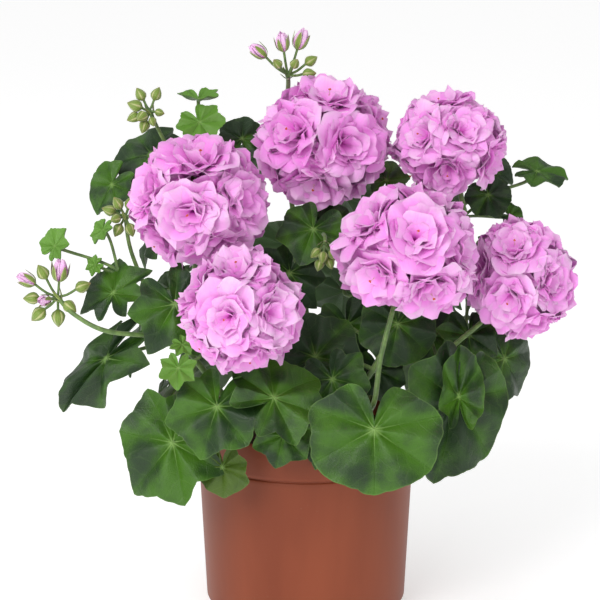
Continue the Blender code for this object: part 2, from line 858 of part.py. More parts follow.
def head_on_stalk(stem, stalk):
    """The head that a stalk carries, with the hole that the stalk stands in."""
    head = HEADS_BY_NAME[stalk.head]
    obj = flower_head(head, Vector(head.middle) - Vector(stalk.points[-1]))
    cut_stalk_hole(obj, stem, stalk)
    return obj


def cut_stalk_hole(obj, stem, stalk):
    """Cuts the way of the flower stalk out of a head, with a small gap all round."""
    path, radii = stalk_path(stem, stalk)
    path.append(path[-1] + (path[-1] - path[-2]).normalized() * GAP)
    radii.append(radii[-1])
    cutter = tube(obj.name + "_cutter", path, [radius + HOLE_ROOM for radius in radii], STALK_SIDES)
    boolean(obj, "DIFFERENCE", [cutter], "MANIFOLD")
    drop_loose_scraps(obj)


def make_pot():
    """The pot: foot, plain wall, step, rim band, rounded lip, and a floor with drainage holes."""
    profile = (
        (0, 0),
        (FOOT_RADIUS, 0),
        (FOOT_RADIUS + FOOT_FLARE, FOOT_HEIGHT - EDGE),
        (BODY_LOW_RADIUS, FOOT_HEIGHT),
        (BODY_TOP_RADIUS, STEP_HEIGHT - EDGE),
        (BODY_TOP_RADIUS - STEP_DEPTH, STEP_HEIGHT),
        (RIM_LOW_RADIUS, STEP_HEIGHT + STEP_RISE),
        (RIM_TOP_RADIUS, POT_HEIGHT - EDGE),
        (RIM_TOP_RADIUS - EDGE, POT_HEIGHT),
        (RIM_TOP_RADIUS - POT_WALL, POT_HEIGHT - EDGE),
        (INNER_TOP_RADIUS, STEP_HEIGHT),
        (INNER_LOW_RADIUS, POT_FLOOR),
        (0, POT_FLOOR),
    )
    pot = turned("pot", profile, POT_SIDES)
    cutters = []
    for index, spoke in enumerate(spokes(Vector((1, 0, 0)), Vector((0, 1, 0)), DRAIN_COUNT)):
        place = spoke * DRAIN_CIRCLE
        cutters.append(upright_cylinder(f"drain_{index}", place, DRAIN_RADIUS, -POT_FLOOR, 2 * POT_FLOOR))
    boolean(pot, "DIFFERENCE", cutters)
    shade_round(pot, 30)
    return pot


def make_soil():
    """The soil that fills the pot, with a plain hole for each stem."""
    low_radius = INNER_LOW_RADIUS - GAP
    top_radius = INNER_TOP_RADIUS - GAP
    profile = (
        (0, POT_FLOOR + GAP),
        (low_radius, POT_FLOOR + GAP),
        (top_radius, STEP_HEIGHT),
        (top_radius, SOIL_TOP - SOIL_CROWN),
        (top_radius * SOIL_CROWN_SHARE, SOIL_TOP),
        (0, SOIL_TOP),
    )
    soil = turned("soil", profile, POT_SIDES)
    cutters = []
    for stem in STEMS:
        path, radii = stem_path(stem)
        path[0] = path[0] - (path[1] - path[0]).normalized() * GAP
        cutters.append(tube(f"hole_{stem.name}", path, [radius + HOLE_ROOM for radius in radii], STEM_SIDES))
    boolean(soil, "DIFFERENCE", cutters)
    shade_round(soil, 30)
    return soil


def stand_on(holder, obj, colour, roughness):
    """Gives a piece its own finish and parents it to the plant's holder."""
    obj.data.materials.clear()
    obj.data.materials.append(finish(obj.name, colour, roughness))
    obj.parent = holder


def main():
    """Builds every piece of the plant and its pot under one holder."""
    clear_scene()
    holder = bpy.data.objects.new("potted_geranium", None)
    bpy.context.scene.collection.objects.link(holder)
    stand_on(holder, make_pot(), CLAY, CLAY_ROUGHNESS)
    stand_on(holder, make_soil(), SOIL_BROWN, SOIL_ROUGHNESS)
    for stem in STEMS:
        stand_on(holder, leafy_stem(stem), LEAF_GREEN, LEAF_ROUGHNESS)
        for stalk in stem.stalks:
            if stalk.head:
                stand_on(holder, head_on_stalk(stem, stalk), PETAL_PINK, PETAL_ROUGHNESS)


main()
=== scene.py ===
"""The looks of a potted ivy geranium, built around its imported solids.

The layout below repeats the plant's own: lengths in it are millimetres, with the origin in the middle of
the pot's base, the front of the plant towards -Y and +X to the right. Each leafy stem gets fine leaves,
green tubes and buds, and each flower head gets florets of ruffled petals on thin green stalks.
"""

import json
import logging
import math
import random
from collections.abc import Callable, Sequence
from dataclasses import dataclass, field
from enum import Enum
from typing import Any

import bpy
import numpy as np
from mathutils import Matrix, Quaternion, Vector

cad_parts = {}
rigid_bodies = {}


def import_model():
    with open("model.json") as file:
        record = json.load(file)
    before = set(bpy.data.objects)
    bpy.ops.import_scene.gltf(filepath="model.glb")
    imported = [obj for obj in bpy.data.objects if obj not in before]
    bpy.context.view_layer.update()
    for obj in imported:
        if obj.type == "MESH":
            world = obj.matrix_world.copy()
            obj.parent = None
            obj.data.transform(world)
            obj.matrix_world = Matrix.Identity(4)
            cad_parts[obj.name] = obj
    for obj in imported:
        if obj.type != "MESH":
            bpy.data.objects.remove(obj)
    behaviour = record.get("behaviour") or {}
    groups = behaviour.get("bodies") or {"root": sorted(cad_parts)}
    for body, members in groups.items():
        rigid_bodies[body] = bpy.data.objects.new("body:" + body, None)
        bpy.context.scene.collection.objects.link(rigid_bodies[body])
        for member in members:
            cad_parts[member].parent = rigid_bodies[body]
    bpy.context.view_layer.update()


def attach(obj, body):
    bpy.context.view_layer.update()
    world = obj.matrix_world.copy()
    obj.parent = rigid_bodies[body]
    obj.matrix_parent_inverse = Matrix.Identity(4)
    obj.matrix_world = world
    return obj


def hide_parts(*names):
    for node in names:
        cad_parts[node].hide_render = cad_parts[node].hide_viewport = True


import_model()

LOG = logging.getLogger("geranium")
MM = 0.001
BODY = "root"

UP = Vector((0, 0, 1))

Point = tuple[float, float, float]
Colour = tuple[float, float, float]
Range = tuple[float, float]
Profile = tuple[tuple[float, float], ...]
Face = tuple[int, ...]
Socket = bpy.types.NodeSocket


class LeafAge(Enum):
    """How old a leaf looks: its tone from dark to bright green, and how far it has faded to olive."""

    OLD = (0.1, 0.0)
    GROWN = (0.4, 0.0)
    FRESH = (0.5, 0.1)
    YOUNG = (1.0, 0.0)
    FADED = (0.8, 1.0)


class BudKind(Enum):
    """What a bud looks like, as the number of its shape."""

    GREEN = 0
    OPENING = 1


@dataclass(frozen=True)
class Leaf:
    """One leaf of the layout: where it leaves its stem, its hub, its size and how it is turned.

    Facing is the compass direction and the height of its upper face in degrees, with 0 to the front,
    and roll turns its middle lobe from straight down towards the right.
    """

    along: float
    hub: Point
    size: float
    facing: tuple[float, float]
    roll: float = 0.0
    cup: float = -0.1
    bend: float = 0.15
    fullness: float = 0.74
    width: float = 1.0
    age: LeafAge = LeafAge.GROWN


@dataclass(frozen=True)
class Bud:
    """One bud of a spray: its middle, from the end of the stalk, its length and its kind."""

    offset: Point
    length: float
    kind: BudKind = BudKind.GREEN


@dataclass(frozen=True)
class Head:
    """One flower head: its middle, its three radii, and its spin round the stalk that carries it."""

    name: str
    middle: Point
    radii: Point
    spin: float


@dataclass(frozen=True)
class Stalk:
    """A flower stalk: where it leaves its stem, the points that it passes, and its buds or its head."""

    along: float
    points: tuple[Point, ...]
    radius: float
    buds: tuple[Bud, ...] = ()
    head: Head | None = None


@dataclass(frozen=True)
class Stem:
    """One leafy stem: the points that it passes from the soil up, its leaves and its stalks."""

    name: str
    points: tuple[Point, ...]
    radius: float
    leaves: tuple[Leaf, ...]
    stalks: tuple[Stalk, ...] = ()


OLD, GROWN, FRESH, YOUNG, FADED = LeafAge
PINK = BudKind.OPENING

HEAD_LEFT = Head("head_left", (-57, -32, 240), (38, 36, 36), 10)
HEAD_TOP = Head("head_top", (10, 5, 268), (38, 36, 35), 40)
HEAD_CENTRE_RIGHT = Head("head_centre_right", (54, -64, 219), (37, 36, 36), 0)
HEAD_LOWER_LEFT = Head("head_lower_left", (-34, -86, 193), (31, 30, 32), 20)
HEAD_UPPER_RIGHT = Head("head_upper_right", (80, -2, 267), (31, 30, 29), 50)
HEAD_RIGHT = Head("head_right", (116, -30, 198), (30, 30, 33), 30)

STEMS = (
    Stem(
        "stem_front_left",
        ((-20, -22, 84), (-24, -30, 112), (-32, -42, 136), (-40, -50, 156), (-50, -52, 168)),
        2.3,
        (
            Leaf(0.50, (-72, -64, 115), 36, (-18, 20), -40, age=FRESH),
            Leaf(0.60, (-47, -80, 140), 29, (-6, 26), -15),
            Leaf(0.55, (-17, -84, 146), 31, (4, 44), 126, age=FRESH),
            Leaf(0.45, (-45, -72, 104), 17, (-16, 4), 0, -0.05, 0.1, 1.1, 0.95, age=FADED),
            Leaf(0.40, (-12, -76, 123), 18, (0, 16), -10),
            Leaf(0.85, (-67, -80, 161), 12, (-8, 30), 0, 0.1, 0, 0.5, age=YOUNG),
            Leaf(0.95, (-66, -62, 169), 8, (10, 40), 30, 0.1, 0, 0.5, age=YOUNG),
        ),
        (
            Stalk(0.45, ((-33, -62, 152), (-34, -78, 176)), 1.5, head=HEAD_LOWER_LEFT),
            Stalk(
                0.90,
                ((-62, -44, 165), (-82, -40, 168), (-108, -48, 173), (-126, -42, 181), (-135, -36, 189)),
                1.5,
                (
                    Bud((-16, -2, 10), 10, PINK),
                    Bud((-8, 0, 14), 9),
                    Bud((2, -3, 15), 12, PINK),
                    Bud((14, 0, 6), 9),
                    Bud((-14, -3, 0), 9),
                    Bud((-6, -8, 0), 8, PINK),
                    Bud((7, -3, -5), 9),
                    Bud((-11, 0, -10), 10),
                    Bud((0, 0, -12), 10),
                ),
            ),
        ),
    ),
    Stem(
        "stem_left",
        ((-32, 0, 84), (-42, -4, 116), (-62, -8, 146), (-84, -12, 176), (-104, -14, 200)),
        2.2,
        (
            Leaf(0.55, (-112, -15, 149), 55, (-38, 12), -46, -0.15, 0.05, 0.6, 0.33, age=OLD),
            Leaf(0.70, (-71, -44, 187), 31, (-8, 22), 28, -0.1, 0.1, 0.6),
            Leaf(0.80, (-106, -26, 189), 25, (-35, 40), -160, -0.1, 0.1, 0.4),
            Leaf(0.90, (-116, -18, 203), 7, (-30, 30), -60, 0.1, 0, 0.4, age=YOUNG),
            Leaf(0.95, (-138, -20, 214), 12, (-40, 30), 160, 0.1, 0, 0.7, age=YOUNG),
            Leaf(1.00, (-112, -14, 222), 10, (-50, 35), 0, 0.1, 0, 0.6, 0.9, age=YOUNG),
            Leaf(0.60, (-96, 14, 156), 26, (276, 24), 8),
        ),
        (
            Stalk(
                0.75,
                ((-97, -8, 208), (-100, -8, 229)),
                1.3,
                (
                    Bud((-9, -1, 3), 8),
                    Bud((-4, -1, 7), 8),
                    Bud((3, 0, 7), 8),
                    Bud((7, -2, 0), 8),
                    Bud((3, -2, -8), 8),
                    Bud((-4, -3, -8), 8),
                    Bud((-5, -6, -1), 7),
                ),
            ),
        ),
    ),
    Stem(
        "stem_upper_left",
        ((-16, 14, 84), (-26, 18, 130), (-42, 20, 180), (-58, 22, 225), (-62, 22, 262)),
        2.2,
        (
            Leaf(0.85, (-88, 28, 258), 27, (-30, 50), -75, -0.1, 0.1, age=OLD),
            Leaf(0.75, (-109, 12, 243), 20, (-38, 25), -30, -0.1, 0.1, 0.8),
            Leaf(1.00, (-60, 16, 291), 13, (10, 76), 0, 0.35, 0, 0.7, age=YOUNG),
            Leaf(0.95, (-59, 6, 279), 15, (0, 35), 32, 0.05, 0, 0.8, age=YOUNG),
            Leaf(0.90, (-36, 24, 267), 17, (10, 40), 170, -0.05, 0.1, 0.7, age=OLD),
            Leaf(0.65, (-86, 36, 212), 24, (280, 34), age=OLD),
        ),
        (
            Stalk(0.55, ((-62, -2, 192), (-59, -16, 210)), 1.7, head=HEAD_LEFT),
            Stalk(
                0.90,
                ((-77, 14, 264), (-87, 10, 285)),
                1.2,
                (
                    Bud((-5, 0, 9), 8),
                    Bud((4, 2, 9), 8),
                    Bud((-8, -2, 3), 9),
                    Bud((-9, -1, -4), 8),
                    Bud((-4, -6, -3), 8),
                    Bud((-3, -2, -9), 8),
                    Bud((2, -4, -6), 6),
                    Bud((6, -3, -1), 6),
                ),
            ),
        ),
    ),
    Stem(
        "stem_back",
        ((8, 24, 84), (4, 34, 130), (-2, 42, 180), (-8, 44, 226), (-12, 44, 258)),
        2.2,
        (
            Leaf(0.60, (4, -22, 224), 22, (0, 32), -25, -0.1, 0.15, 0.85),
            Leaf(0.45, (-9, -6, 196), 24, (-12, 20), -20, age=OLD),
            Leaf(0.50, (-8, 74, 196), 32, (176, 34), 12),
            Leaf(0.70, (24, 70, 226), 28, (162, 44), -20, age=FRESH),
            Leaf(0.85, (-26, 68, 250), 25, (190, 50), 15),
            Leaf(0.95, (12, 58, 268), 19, (168, 55), -35, age=YOUNG),
            Leaf(0.62, (14, 4, 216), 20, (10, 30), 150, -0.1, 0.15, 0.9, age=OLD),
        ),
        (
            Stalk(0.65, ((2, 32, 222), (6, 16, 238)), 1.7, head=HEAD_TOP),
            Stalk(
                0.95,
                ((-12, 40, 280), (-10, 24, 296), (-10, 16, 304)),
                1.5,
                (
                    Bud((-16, 0, 13), 10, PINK),
                    Bud((-3, -4, 18), 10, PINK),
                    Bud((7, 2, 19), 11, PINK),
                    Bud((-6, -6, 7), 7),
                    Bud((4, -6, 7), 7),
                    Bud((13, 0, 8), 8),
                    Bud((12, -3, 1), 8),
                ),
            ),
            Stalk(
                0.50,
                ((6, 2, 214), (10, -30, 222), (10, -38, 218)),
                1.1,
                (
                    Bud((-5, -2, -4), 7),
                    Bud((-1, -4, -6), 7),
                    Bud((5, -2, -5), 7),
                    Bud((3, 0, -10), 7),
                    Bud((-3, 0, -11), 7),
                ),
            ),
        ),
    ),
    Stem(
        "stem_upper_right",
        ((24, 10, 84), (38, 14, 130), (58, 16, 172), (76, 16, 208), (90, 20, 232)),
        2.2,
        (
            Leaf(0.95, (131, 22, 249), 21, (20, 64), 75, -0.1, 0.1, 0.9, 0.75),
            Leaf(0.90, (108, 38, 247), 15, (20, 40), 60, age=OLD),
            Leaf(0.80, (103, 18, 236), 15, (10, 30), 20, -0.05, 0.1, 1.2, age=OLD),
            Leaf(0.85, (117, 28, 222), 9, (25, 25), 60, 0.1, 0),
            Leaf(0.60, (103, 8, 210), 9, (20, 25), 20),
            Leaf(0.70, (46, 26, 243), 15, (0, 35), 160),
            Leaf(0.45, (58, 56, 200), 29, (140, 34), 20),
            Leaf(0.70, (78, 58, 230), 23, (130, 42), -15, age=FRESH),
            Leaf(0.55, (88, 34, 190), 26, (76, 34), -10),
        ),
        (
            Stalk(0.70, ((88, 4, 220), (86, 0, 240)), 1.7, head=HEAD_UPPER_RIGHT),
            Stalk(
                0.65,
                ((92, 14, 190), (97, 16, 204)),
                1.1,
                (
                    Bud((-3, 0, 1), 8),
                    Bud((3, -2, 5), 8),
                    Bud((9, -5, -2), 8, PINK),
                ),
            ),
        ),
    ),
    Stem(
        "stem_right",
        ((30, -14, 84), (42, -22, 114), (58, -28, 134), (78, -26, 148), (94, -14, 156)),
        2.2,
        (
            Leaf(0.55, (81, -58, 138), 46, (14, 14), -17, -0.12, 0.12, 1, 0.72, age=OLD),
            Leaf(0.70, (82, -61, 140), 28, (20, 30), 168, 0.15, 0, 1, 0.5),
            Leaf(0.95, (112, -8, 147), 28, (38, 16), 34, -0.15, age=OLD),
            Leaf(0.85, (90, -25, 165), 21, (16, 30)),
            Leaf(0.80, (106, 26, 146), 31, (80, 26), -12),
            Leaf(0.30, (86, 14, 124), 28, (76, 12), 6, age=OLD),
            Leaf(0.70, (71, -6, 160), 22, (10, 20), 10, -0.1, 0.15, 1, age=OLD),
            Leaf(0.90, (100, 24, 178), 22, (88, 30), 5),
        ),
        (Stalk(0.60, ((77, -36, 158), (96, -32, 174)), 1.5, head=HEAD_RIGHT),),
    ),
    Stem(
        "stem_front",
        ((6, -26, 84), (12, -38, 112), (22, -46, 132), (34, -48, 148), (42, -40, 160)),
        2.2,
        (
            Leaf(0.55, (35, -102, 134), 35, (2, 22), -3, -0.1, 0.1, 1.15, 1.08, age=FRESH),
            Leaf(0.90, (50, -36, 174), 24, (8, 20), -10, -0.1, 0.15, 1.2, age=OLD),
            Leaf(0.80, (5, -46, 158), 28, (-6, 26), 140, -0.1, 0.15, 0.95, age=OLD),
            Leaf(0.60, (14, -62, 150), 23, (6, 16), 20, age=OLD),
            Leaf(0.45, (6, -68, 119), 18, (10, 4), 0, -0.05, 0.1, 0.9, 0.5, age=OLD),
            Leaf(0.70, (40, -30, 146), 18, (4, 20), 10, age=OLD),
            Leaf(0.95, (23, -14, 168), 22, (4, 18), 14, -0.1, 0.15, 0.9, age=OLD),
        ),
        (Stalk(0.45, ((34, -84, 140), (39, -74, 164), (45, -66, 186)), 1.5, head=HEAD_CENTRE_RIGHT),),
    ),
    Stem(
        "stem_rear_left",
        ((-26, 34, 84), (-36, 42, 118), (-52, 50, 146), (-62, 54, 176), (-66, 52, 204)),
        2.2,
        (
            Leaf(0.45, (-52, 90, 128), 33, (202, 18), 8),
            Leaf(0.60, (-74, 62, 114), 28, (242, 20), -8, age=FRESH),
            Leaf(0.70, (-54, 88, 168), 29, (196, 32), -14),
            Leaf(0.80, (-82, 56, 174), 27, (236, 34), 12),
            Leaf(0.95, (-72, 68, 220), 25, (214, 46), 10, age=FRESH),
            Leaf(0.55, (-86, 16, 112), 26, (272, 14), 4, age=OLD),
        ),
    ),
    Stem(
        "stem_rear_right",
        ((30, 28, 84), (38, 36, 112), (48, 46, 134), (54, 56, 152), (54, 60, 164)),
        2.2,
        (
            Leaf(0.50, (14, 92, 126), 33, (176, 16), -6),
            Leaf(0.60, (68, 84, 128), 33, (146, 16), 8, age=FRESH),
            Leaf(0.70, (92, 58, 146), 29, (118, 22), -8),
            Leaf(0.90, (24, 92, 164), 27, (168, 28), 10),
            Leaf(0.95, (74, 80, 170), 26, (142, 34), -6, age=FRESH),
        ),
    ),
)

# Each lobe of a leaf: its degrees from the middle lobe, and its length over the leaf's size.
LOBES = ((0, 1.0), (57, 0.98), (108, 0.92), (150, 0.76), (210, 0.76), (252, 0.92), (303, 0.98))
LOBE_SWAY = 4.0
LOBE_LENGTHS = (0.94, 1.04)
NOTCH_LEAST = 0.55
NOTCH_MORE = 0.34
NOTCH_LENGTHS = (0.95, 1.04)
DEEP_NOTCH_LOBE = 3
DEEP_NOTCH = 0.16

# Rows of points in blades and petals lie closer together towards their end by this power.
ROW_SPREAD = 0.85


def spline_point(points: Sequence[Vector | Point], share: float) -> Vector:
    """The point at a share of the smooth curve through the points.

    Args:
        points: The points that the curve passes.
        share: How far along the curve, from 0 to 1.

    Returns:
        The point on the curve.
    """
    spans = len(points) - 1
    place = min(max(share, 0.0), 1.0) * spans
    index = min(int(place), spans - 1)
    t = place - index
    before = Vector(points[max(index - 1, 0)])
    start = Vector(points[index])
    end = Vector(points[index + 1])
    after = Vector(points[min(index + 2, spans)])
    return 0.5 * (
        2 * start
        + (end - before) * t
        + (2 * before - 5 * start + 4 * end - after) * t * t
        + (3 * start - before - 3 * end + after) * t * t * t
    )


def smooth_path(points: Sequence[Vector | Point], steps: int) -> list[Vector]:
    """Points along the smooth curve through the points.

    Args:
        points: The points that the curve passes.
        steps: How many stretches the curve is cut into.

    Returns:
        One more point than there are stretches.
    """
    return [spline_point(points, step / steps) for step in range(steps + 1)]


def ring_points(sides: int, radius: float) -> np.ndarray:
    """Evenly spaced points of a level circle round the Z axis."""
    turns = np.arange(sides) * math.tau / sides
    return np.stack([np.cos(turns), np.sin(turns), np.zeros(sides)], axis=1) * radius


def hump(values: np.ndarray, width: float) -> np.ndarray:
    """A smooth hump that is 1 where the values are 0 and falls off over the width."""
    return np.exp(-((values / width) ** 2))


def degrees_from(degrees: np.ndarray, centre: float) -> np.ndarray:
    """How many degrees each direction lies from a centre, either way round."""
    return np.abs((degrees - centre + 180) % 360 - 180)


def shade(mesh: bpy.types.Mesh, sharp_degrees: float) -> None:
    """Shades a mesh smooth, but for edges that are sharper than the degrees."""
    mesh.shade_smooth()
    mesh.set_sharp_from_angle(angle=math.radians(sharp_degrees))


def keep_result(obj: bpy.types.Object, sharp_degrees: float) -> None:
    """Makes the result of an object's modifiers its plain mesh, and removes them.

    Args:
        obj: The object.
        sharp_degrees: Edges sharper than this stay sharp.
    """
    graph = bpy.context.evaluated_depsgraph_get()
    mesh = bpy.data.meshes.new_from_object(obj.evaluated_get(graph))
    obj.modifiers.clear()
    obj.data = mesh
    shade(mesh, sharp_degrees)


@dataclass
class Patchwork:
    """Gathers patches of points in millimetres, their faces and their values into one mesh."""

    points: list[np.ndarray] = field(default_factory=list)
    faces: list[Face] = field(default_factory=list)
    edges: list[tuple[int, int]] = field(default_factory=list)
    values: dict[str, list[np.ndarray]] = field(default_factory=dict)
    count: int = 0

    def add(self, points: np.ndarray, faces: Sequence[Face] = (), **values: Any) -> None:
        """Adds one patch.

        Args:
            points: The patch's points, one row each.
            faces: Faces as numbers of the patch's own points.
            **values: A number for the whole patch, or a number or a vector for each point.
        """
        start = self.count
        self.points.append(np.asarray(points, float))
        self.count += len(points)
        self.faces += [tuple(start + number for number in corners) for corners in faces]
        for name, value in values.items():
            array = np.asarray(value, float)
            if array.ndim == 0:
                array = np.full(len(points), array)
            self.values.setdefault(name, []).append(array)

    def add_line(self, points: np.ndarray, **values: Any) -> None:
        """Adds points that a chain of edges joins.

        Args:
            points: The points from one end to the other, one row each.
            **values: A number for the whole line, or one for each point.
        """
        start = self.count
        self.add(points, **values)
        self.edges += [(number, number + 1) for number in range(start, self.count - 1)]

    def add_blade(self, grid: np.ndarray, thickness: float, under: str = "", **values: Any) -> None:
        """Adds a grid of points closed to a thin blade, whose two faces meet in a sharp rim.

        Args:
            grid: The blade's middle surface, as rows by columns by three.
            thickness: The blade's thickness.
            under: The name of a value that is 0 above and 1 below, if the blade has one.
            **values: Numbers for the whole blade, for its rows, its columns or its points.
        """
        normals = np.cross(np.gradient(grid, axis=1), np.gradient(grid, axis=0))
        normals /= np.maximum(np.linalg.norm(normals, axis=2, keepdims=True), 1e-12)
        inside = np.zeros(grid.shape[:2], bool)
        inside[1:-1, 1:-1] = True
        shift = normals * (thickness / 2) * inside[..., None]
        numbers = np.arange(inside.size).reshape(inside.shape)
        lower_numbers = numbers.copy()
        lower_numbers[inside] = inside.size + np.arange(inside.sum())
        for name, value in values.items():
            whole = np.broadcast_to(value, inside.shape)
            values[name] = np.concatenate([whole.reshape(-1), whole[inside]])
        if under:
            values[under] = np.repeat([0.0, 1.0], [inside.size, inside.sum()])
        points = np.concatenate([(grid + shift).reshape(-1, 3), (grid - shift)[inside]])
        self.add(points, grid_faces(numbers) + grid_faces(lower_numbers, flip=True), **values)

    def add_copy(self, middle: Vector, aim: Vector, side: Vector, size: float, pick: int = 0) -> None:
        """Adds a point that a copy of a small shape is put on.

        Args:
            middle: Where the copy's origin goes.
            aim: Where its Z axis points.
            side: Where its X axis points.
            size: How many times its own size it gets.
            pick: The number of its shape.
        """
        aims, sides = np.array([aim]), np.array([side])
        self.add(np.array([middle]), copy_aim=aims, copy_side=sides, copy_size=size, copy_pick=pick)

    def mesh_object(self, name: str, scale: float = MM, sharp_degrees: float = 50.0) -> bpy.types.Object:
        """Turns the patches into an object at the origin.

        Args:
            name: The object's name.
            scale: Metres for one unit of the points.
            sharp_degrees: Edges sharper than this stay sharp.

        Returns:
            The object, linked to the scene.
        """
        mesh = bpy.data.meshes.new(name)
        points = np.concatenate(self.points) * scale
        mesh.from_pydata(points.tolist(), self.edges, self.faces)
        for key, parts in self.values.items():
            array = np.concatenate(parts).astype(np.float32)
            single = array.ndim == 1
            layer = mesh.attributes.new(key, "FLOAT" if single else "FLOAT_VECTOR", "POINT")
            layer.data.foreach_set("value" if single else "vector", array.ravel())
        if self.faces:
            shade(mesh, sharp_degrees)
        mesh.update()
        obj = bpy.data.objects.new(name, mesh)
        bpy.context.scene.collection.objects.link(obj)
        return obj


def finish_piece(obj: bpy.types.Object, slot: str, material: bpy.types.Material, *nodes: str) -> None:
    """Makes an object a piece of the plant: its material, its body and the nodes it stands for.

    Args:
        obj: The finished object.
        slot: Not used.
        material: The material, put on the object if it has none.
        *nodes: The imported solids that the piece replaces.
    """
    if not obj.data.materials:
        obj.data.materials.append(material)
    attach(obj, BODY)
    if nodes:
        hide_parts(*nodes)
    triangles = sum(len(polygon.vertices) - 2 for polygon in obj.data.polygons)
    LOG.info("%s: %d triangles", obj.name, triangles)


def math_step(operation: str, turned: bool = False) -> Callable[..., "Number"]:
    """Makes a method of a number that adds one Math node.

    Args:
        operation: What the Math node does.
        turned: Whether the other number comes first.

    Returns:
        The method.
    """

    def step(number: "Number", other: "Number | float" = 0.0) -> "Number":
        """Adds the Math node and gives its result."""
        pair = (other, number) if turned else (number, other)
        return number.tree.math(operation, *pair)

    return step


class Number:
    """A number that a node gives. Plain arithmetic with it adds the Math nodes."""

    def __init__(self, tree: "NodeTree", socket: Socket) -> None:
        """Keeps the number's tree and its socket."""
        self.tree = tree
        self.socket = socket

    __add__ = math_step("ADD")
    __sub__ = math_step("SUBTRACT")
    __rsub__ = math_step("SUBTRACT", turned=True)
    __mul__ = math_step("MULTIPLY")
    __truediv__ = math_step("DIVIDE")
    __abs__ = math_step("ABSOLUTE")
    at_least = math_step("MAXIMUM")
    at_most = math_step("MINIMUM")
    below = math_step("LESS_THAN")


class NodeTree:
    """Short ways to add and link nodes, for shader and geometry trees alike."""

    def __init__(self, tree: bpy.types.NodeTree) -> None:
        """Keeps the tree that nodes are added to."""
        self.tree = tree

    def node(self, kind: str, settings: dict[str, Any] | None = None, **links: Any) -> bpy.types.Node:
        """Adds a node.

        Args:
            kind: Blender's name of the node type.
            settings: Values of the node's own properties.
            **links: What its inputs get, by the socket's name with underscores, or in_N for number N.

        Returns:
            The node.
        """
        made = self.tree.nodes.new(kind)
        for key, value in (settings or {}).items():
            setattr(made, key, value)
        for key, value in links.items():
            if key.startswith("in_"):
                socket = made.inputs[int(key[3:])]
            else:
                socket = next(s for s in made.inputs if s.name == key.replace("_", " ") and s.enabled)
            self.feed(socket, value)
        return made

    def feed(self, socket: Socket, value: Any) -> None:
        """Links a socket to an input, or sets the input's own value.

        Args:
            socket: The input.
            value: A socket or a node's number to link, or a value to set.
        """
        if isinstance(value, Number):
            value = value.socket
        if isinstance(value, bpy.types.NodeSocket):
            self.tree.links.new(value, socket)
        elif socket.type == "RGBA" and len(value) == 3:
            socket.default_value = (*value, 1.0)
        else:
            socket.default_value = value

    def math(self, operation: str, first: Any, second: Any = 0.0) -> Number:
        """Adds a Math node and gives its result."""
        made = self.node("ShaderNodeMath", {"operation": operation}, in_0=first, in_1=second)
        return Number(self, made.outputs[0])

    def split(self, vector: Socket) -> list[Number]:
        """The three numbers of a vector."""
        return [Number(self, part) for part in self.node("ShaderNodeSeparateXYZ", Vector=vector).outputs]


class Surface(NodeTree):
    """One procedural material with a Principled shader."""

    def __init__(self, name: str) -> None:
        """Makes the material and finds its shader.

        Args:
            name: The material's name.
        """
        self.material = bpy.data.materials.new(name)
        self.material.use_nodes = True
        super().__init__(self.material.node_tree)
        self.shader = self.tree.nodes["Principled BSDF"]

    def place(self) -> Socket:
        """The object's own coordinates, in metres."""
        return self.node("ShaderNodeTexCoord").outputs["Object"]

    def carried(self, name: str) -> Number:
        """A number that the mesh carries under a name."""
        return Number(self, self.node("ShaderNodeAttribute", {"attribute_name": name}).outputs["Fac"])

    def noise(self, vector: Socket, scale: float, detail: float = 2.0, roughness: float = 0.5) -> Number:
        """Soft noise from 0 to 1."""
        sizes = {"Scale": scale, "Detail": detail, "Roughness": roughness}
        return Number(self, self.node("ShaderNodeTexNoise", Vector=vector, **sizes).outputs[0])

    def fade(self, value: Number, low: float, high: float) -> Number:
        """Runs smoothly from 0 where the value is low to 1 where it is high.

        Args:
            value: The value.
            low: The value that gives 0.
            high: The value that gives 1.

        Returns:
            The number from 0 to 1.
        """
        settings = {"interpolation_type": "SMOOTHSTEP"}
        ramp = self.node("ShaderNodeMapRange", settings, in_0=value, in_1=low, in_2=high)
        return Number(self, ramp.outputs[0])

    def blend(self, share: Number, first: Any, second: Any) -> Socket:
        """Mixes two colours, with this share of the second one."""
        mix = self.node("ShaderNodeMix", {"data_type": "RGBA"}, in_0=share, in_6=first, in_7=second)
        return mix.outputs[2]

    def bump(self, height: Number, distance: float, strength: float) -> Socket:
        """A bumped normal from a height."""
        return self.node("ShaderNodeBump", Strength=strength, Distance=distance, Height=height).outputs[0]

    def finished(self, **values: Any) -> bpy.types.Material:
        """Sets or links the shader's inputs and gives the material.

        Args:
            **values: Values or sockets for the shader's inputs, by name with underscores.

        Returns:
            The material.
        """
        for key, value in values.items():
            self.feed(self.shader.inputs[key.replace("_", " ")], value)
        return self.material


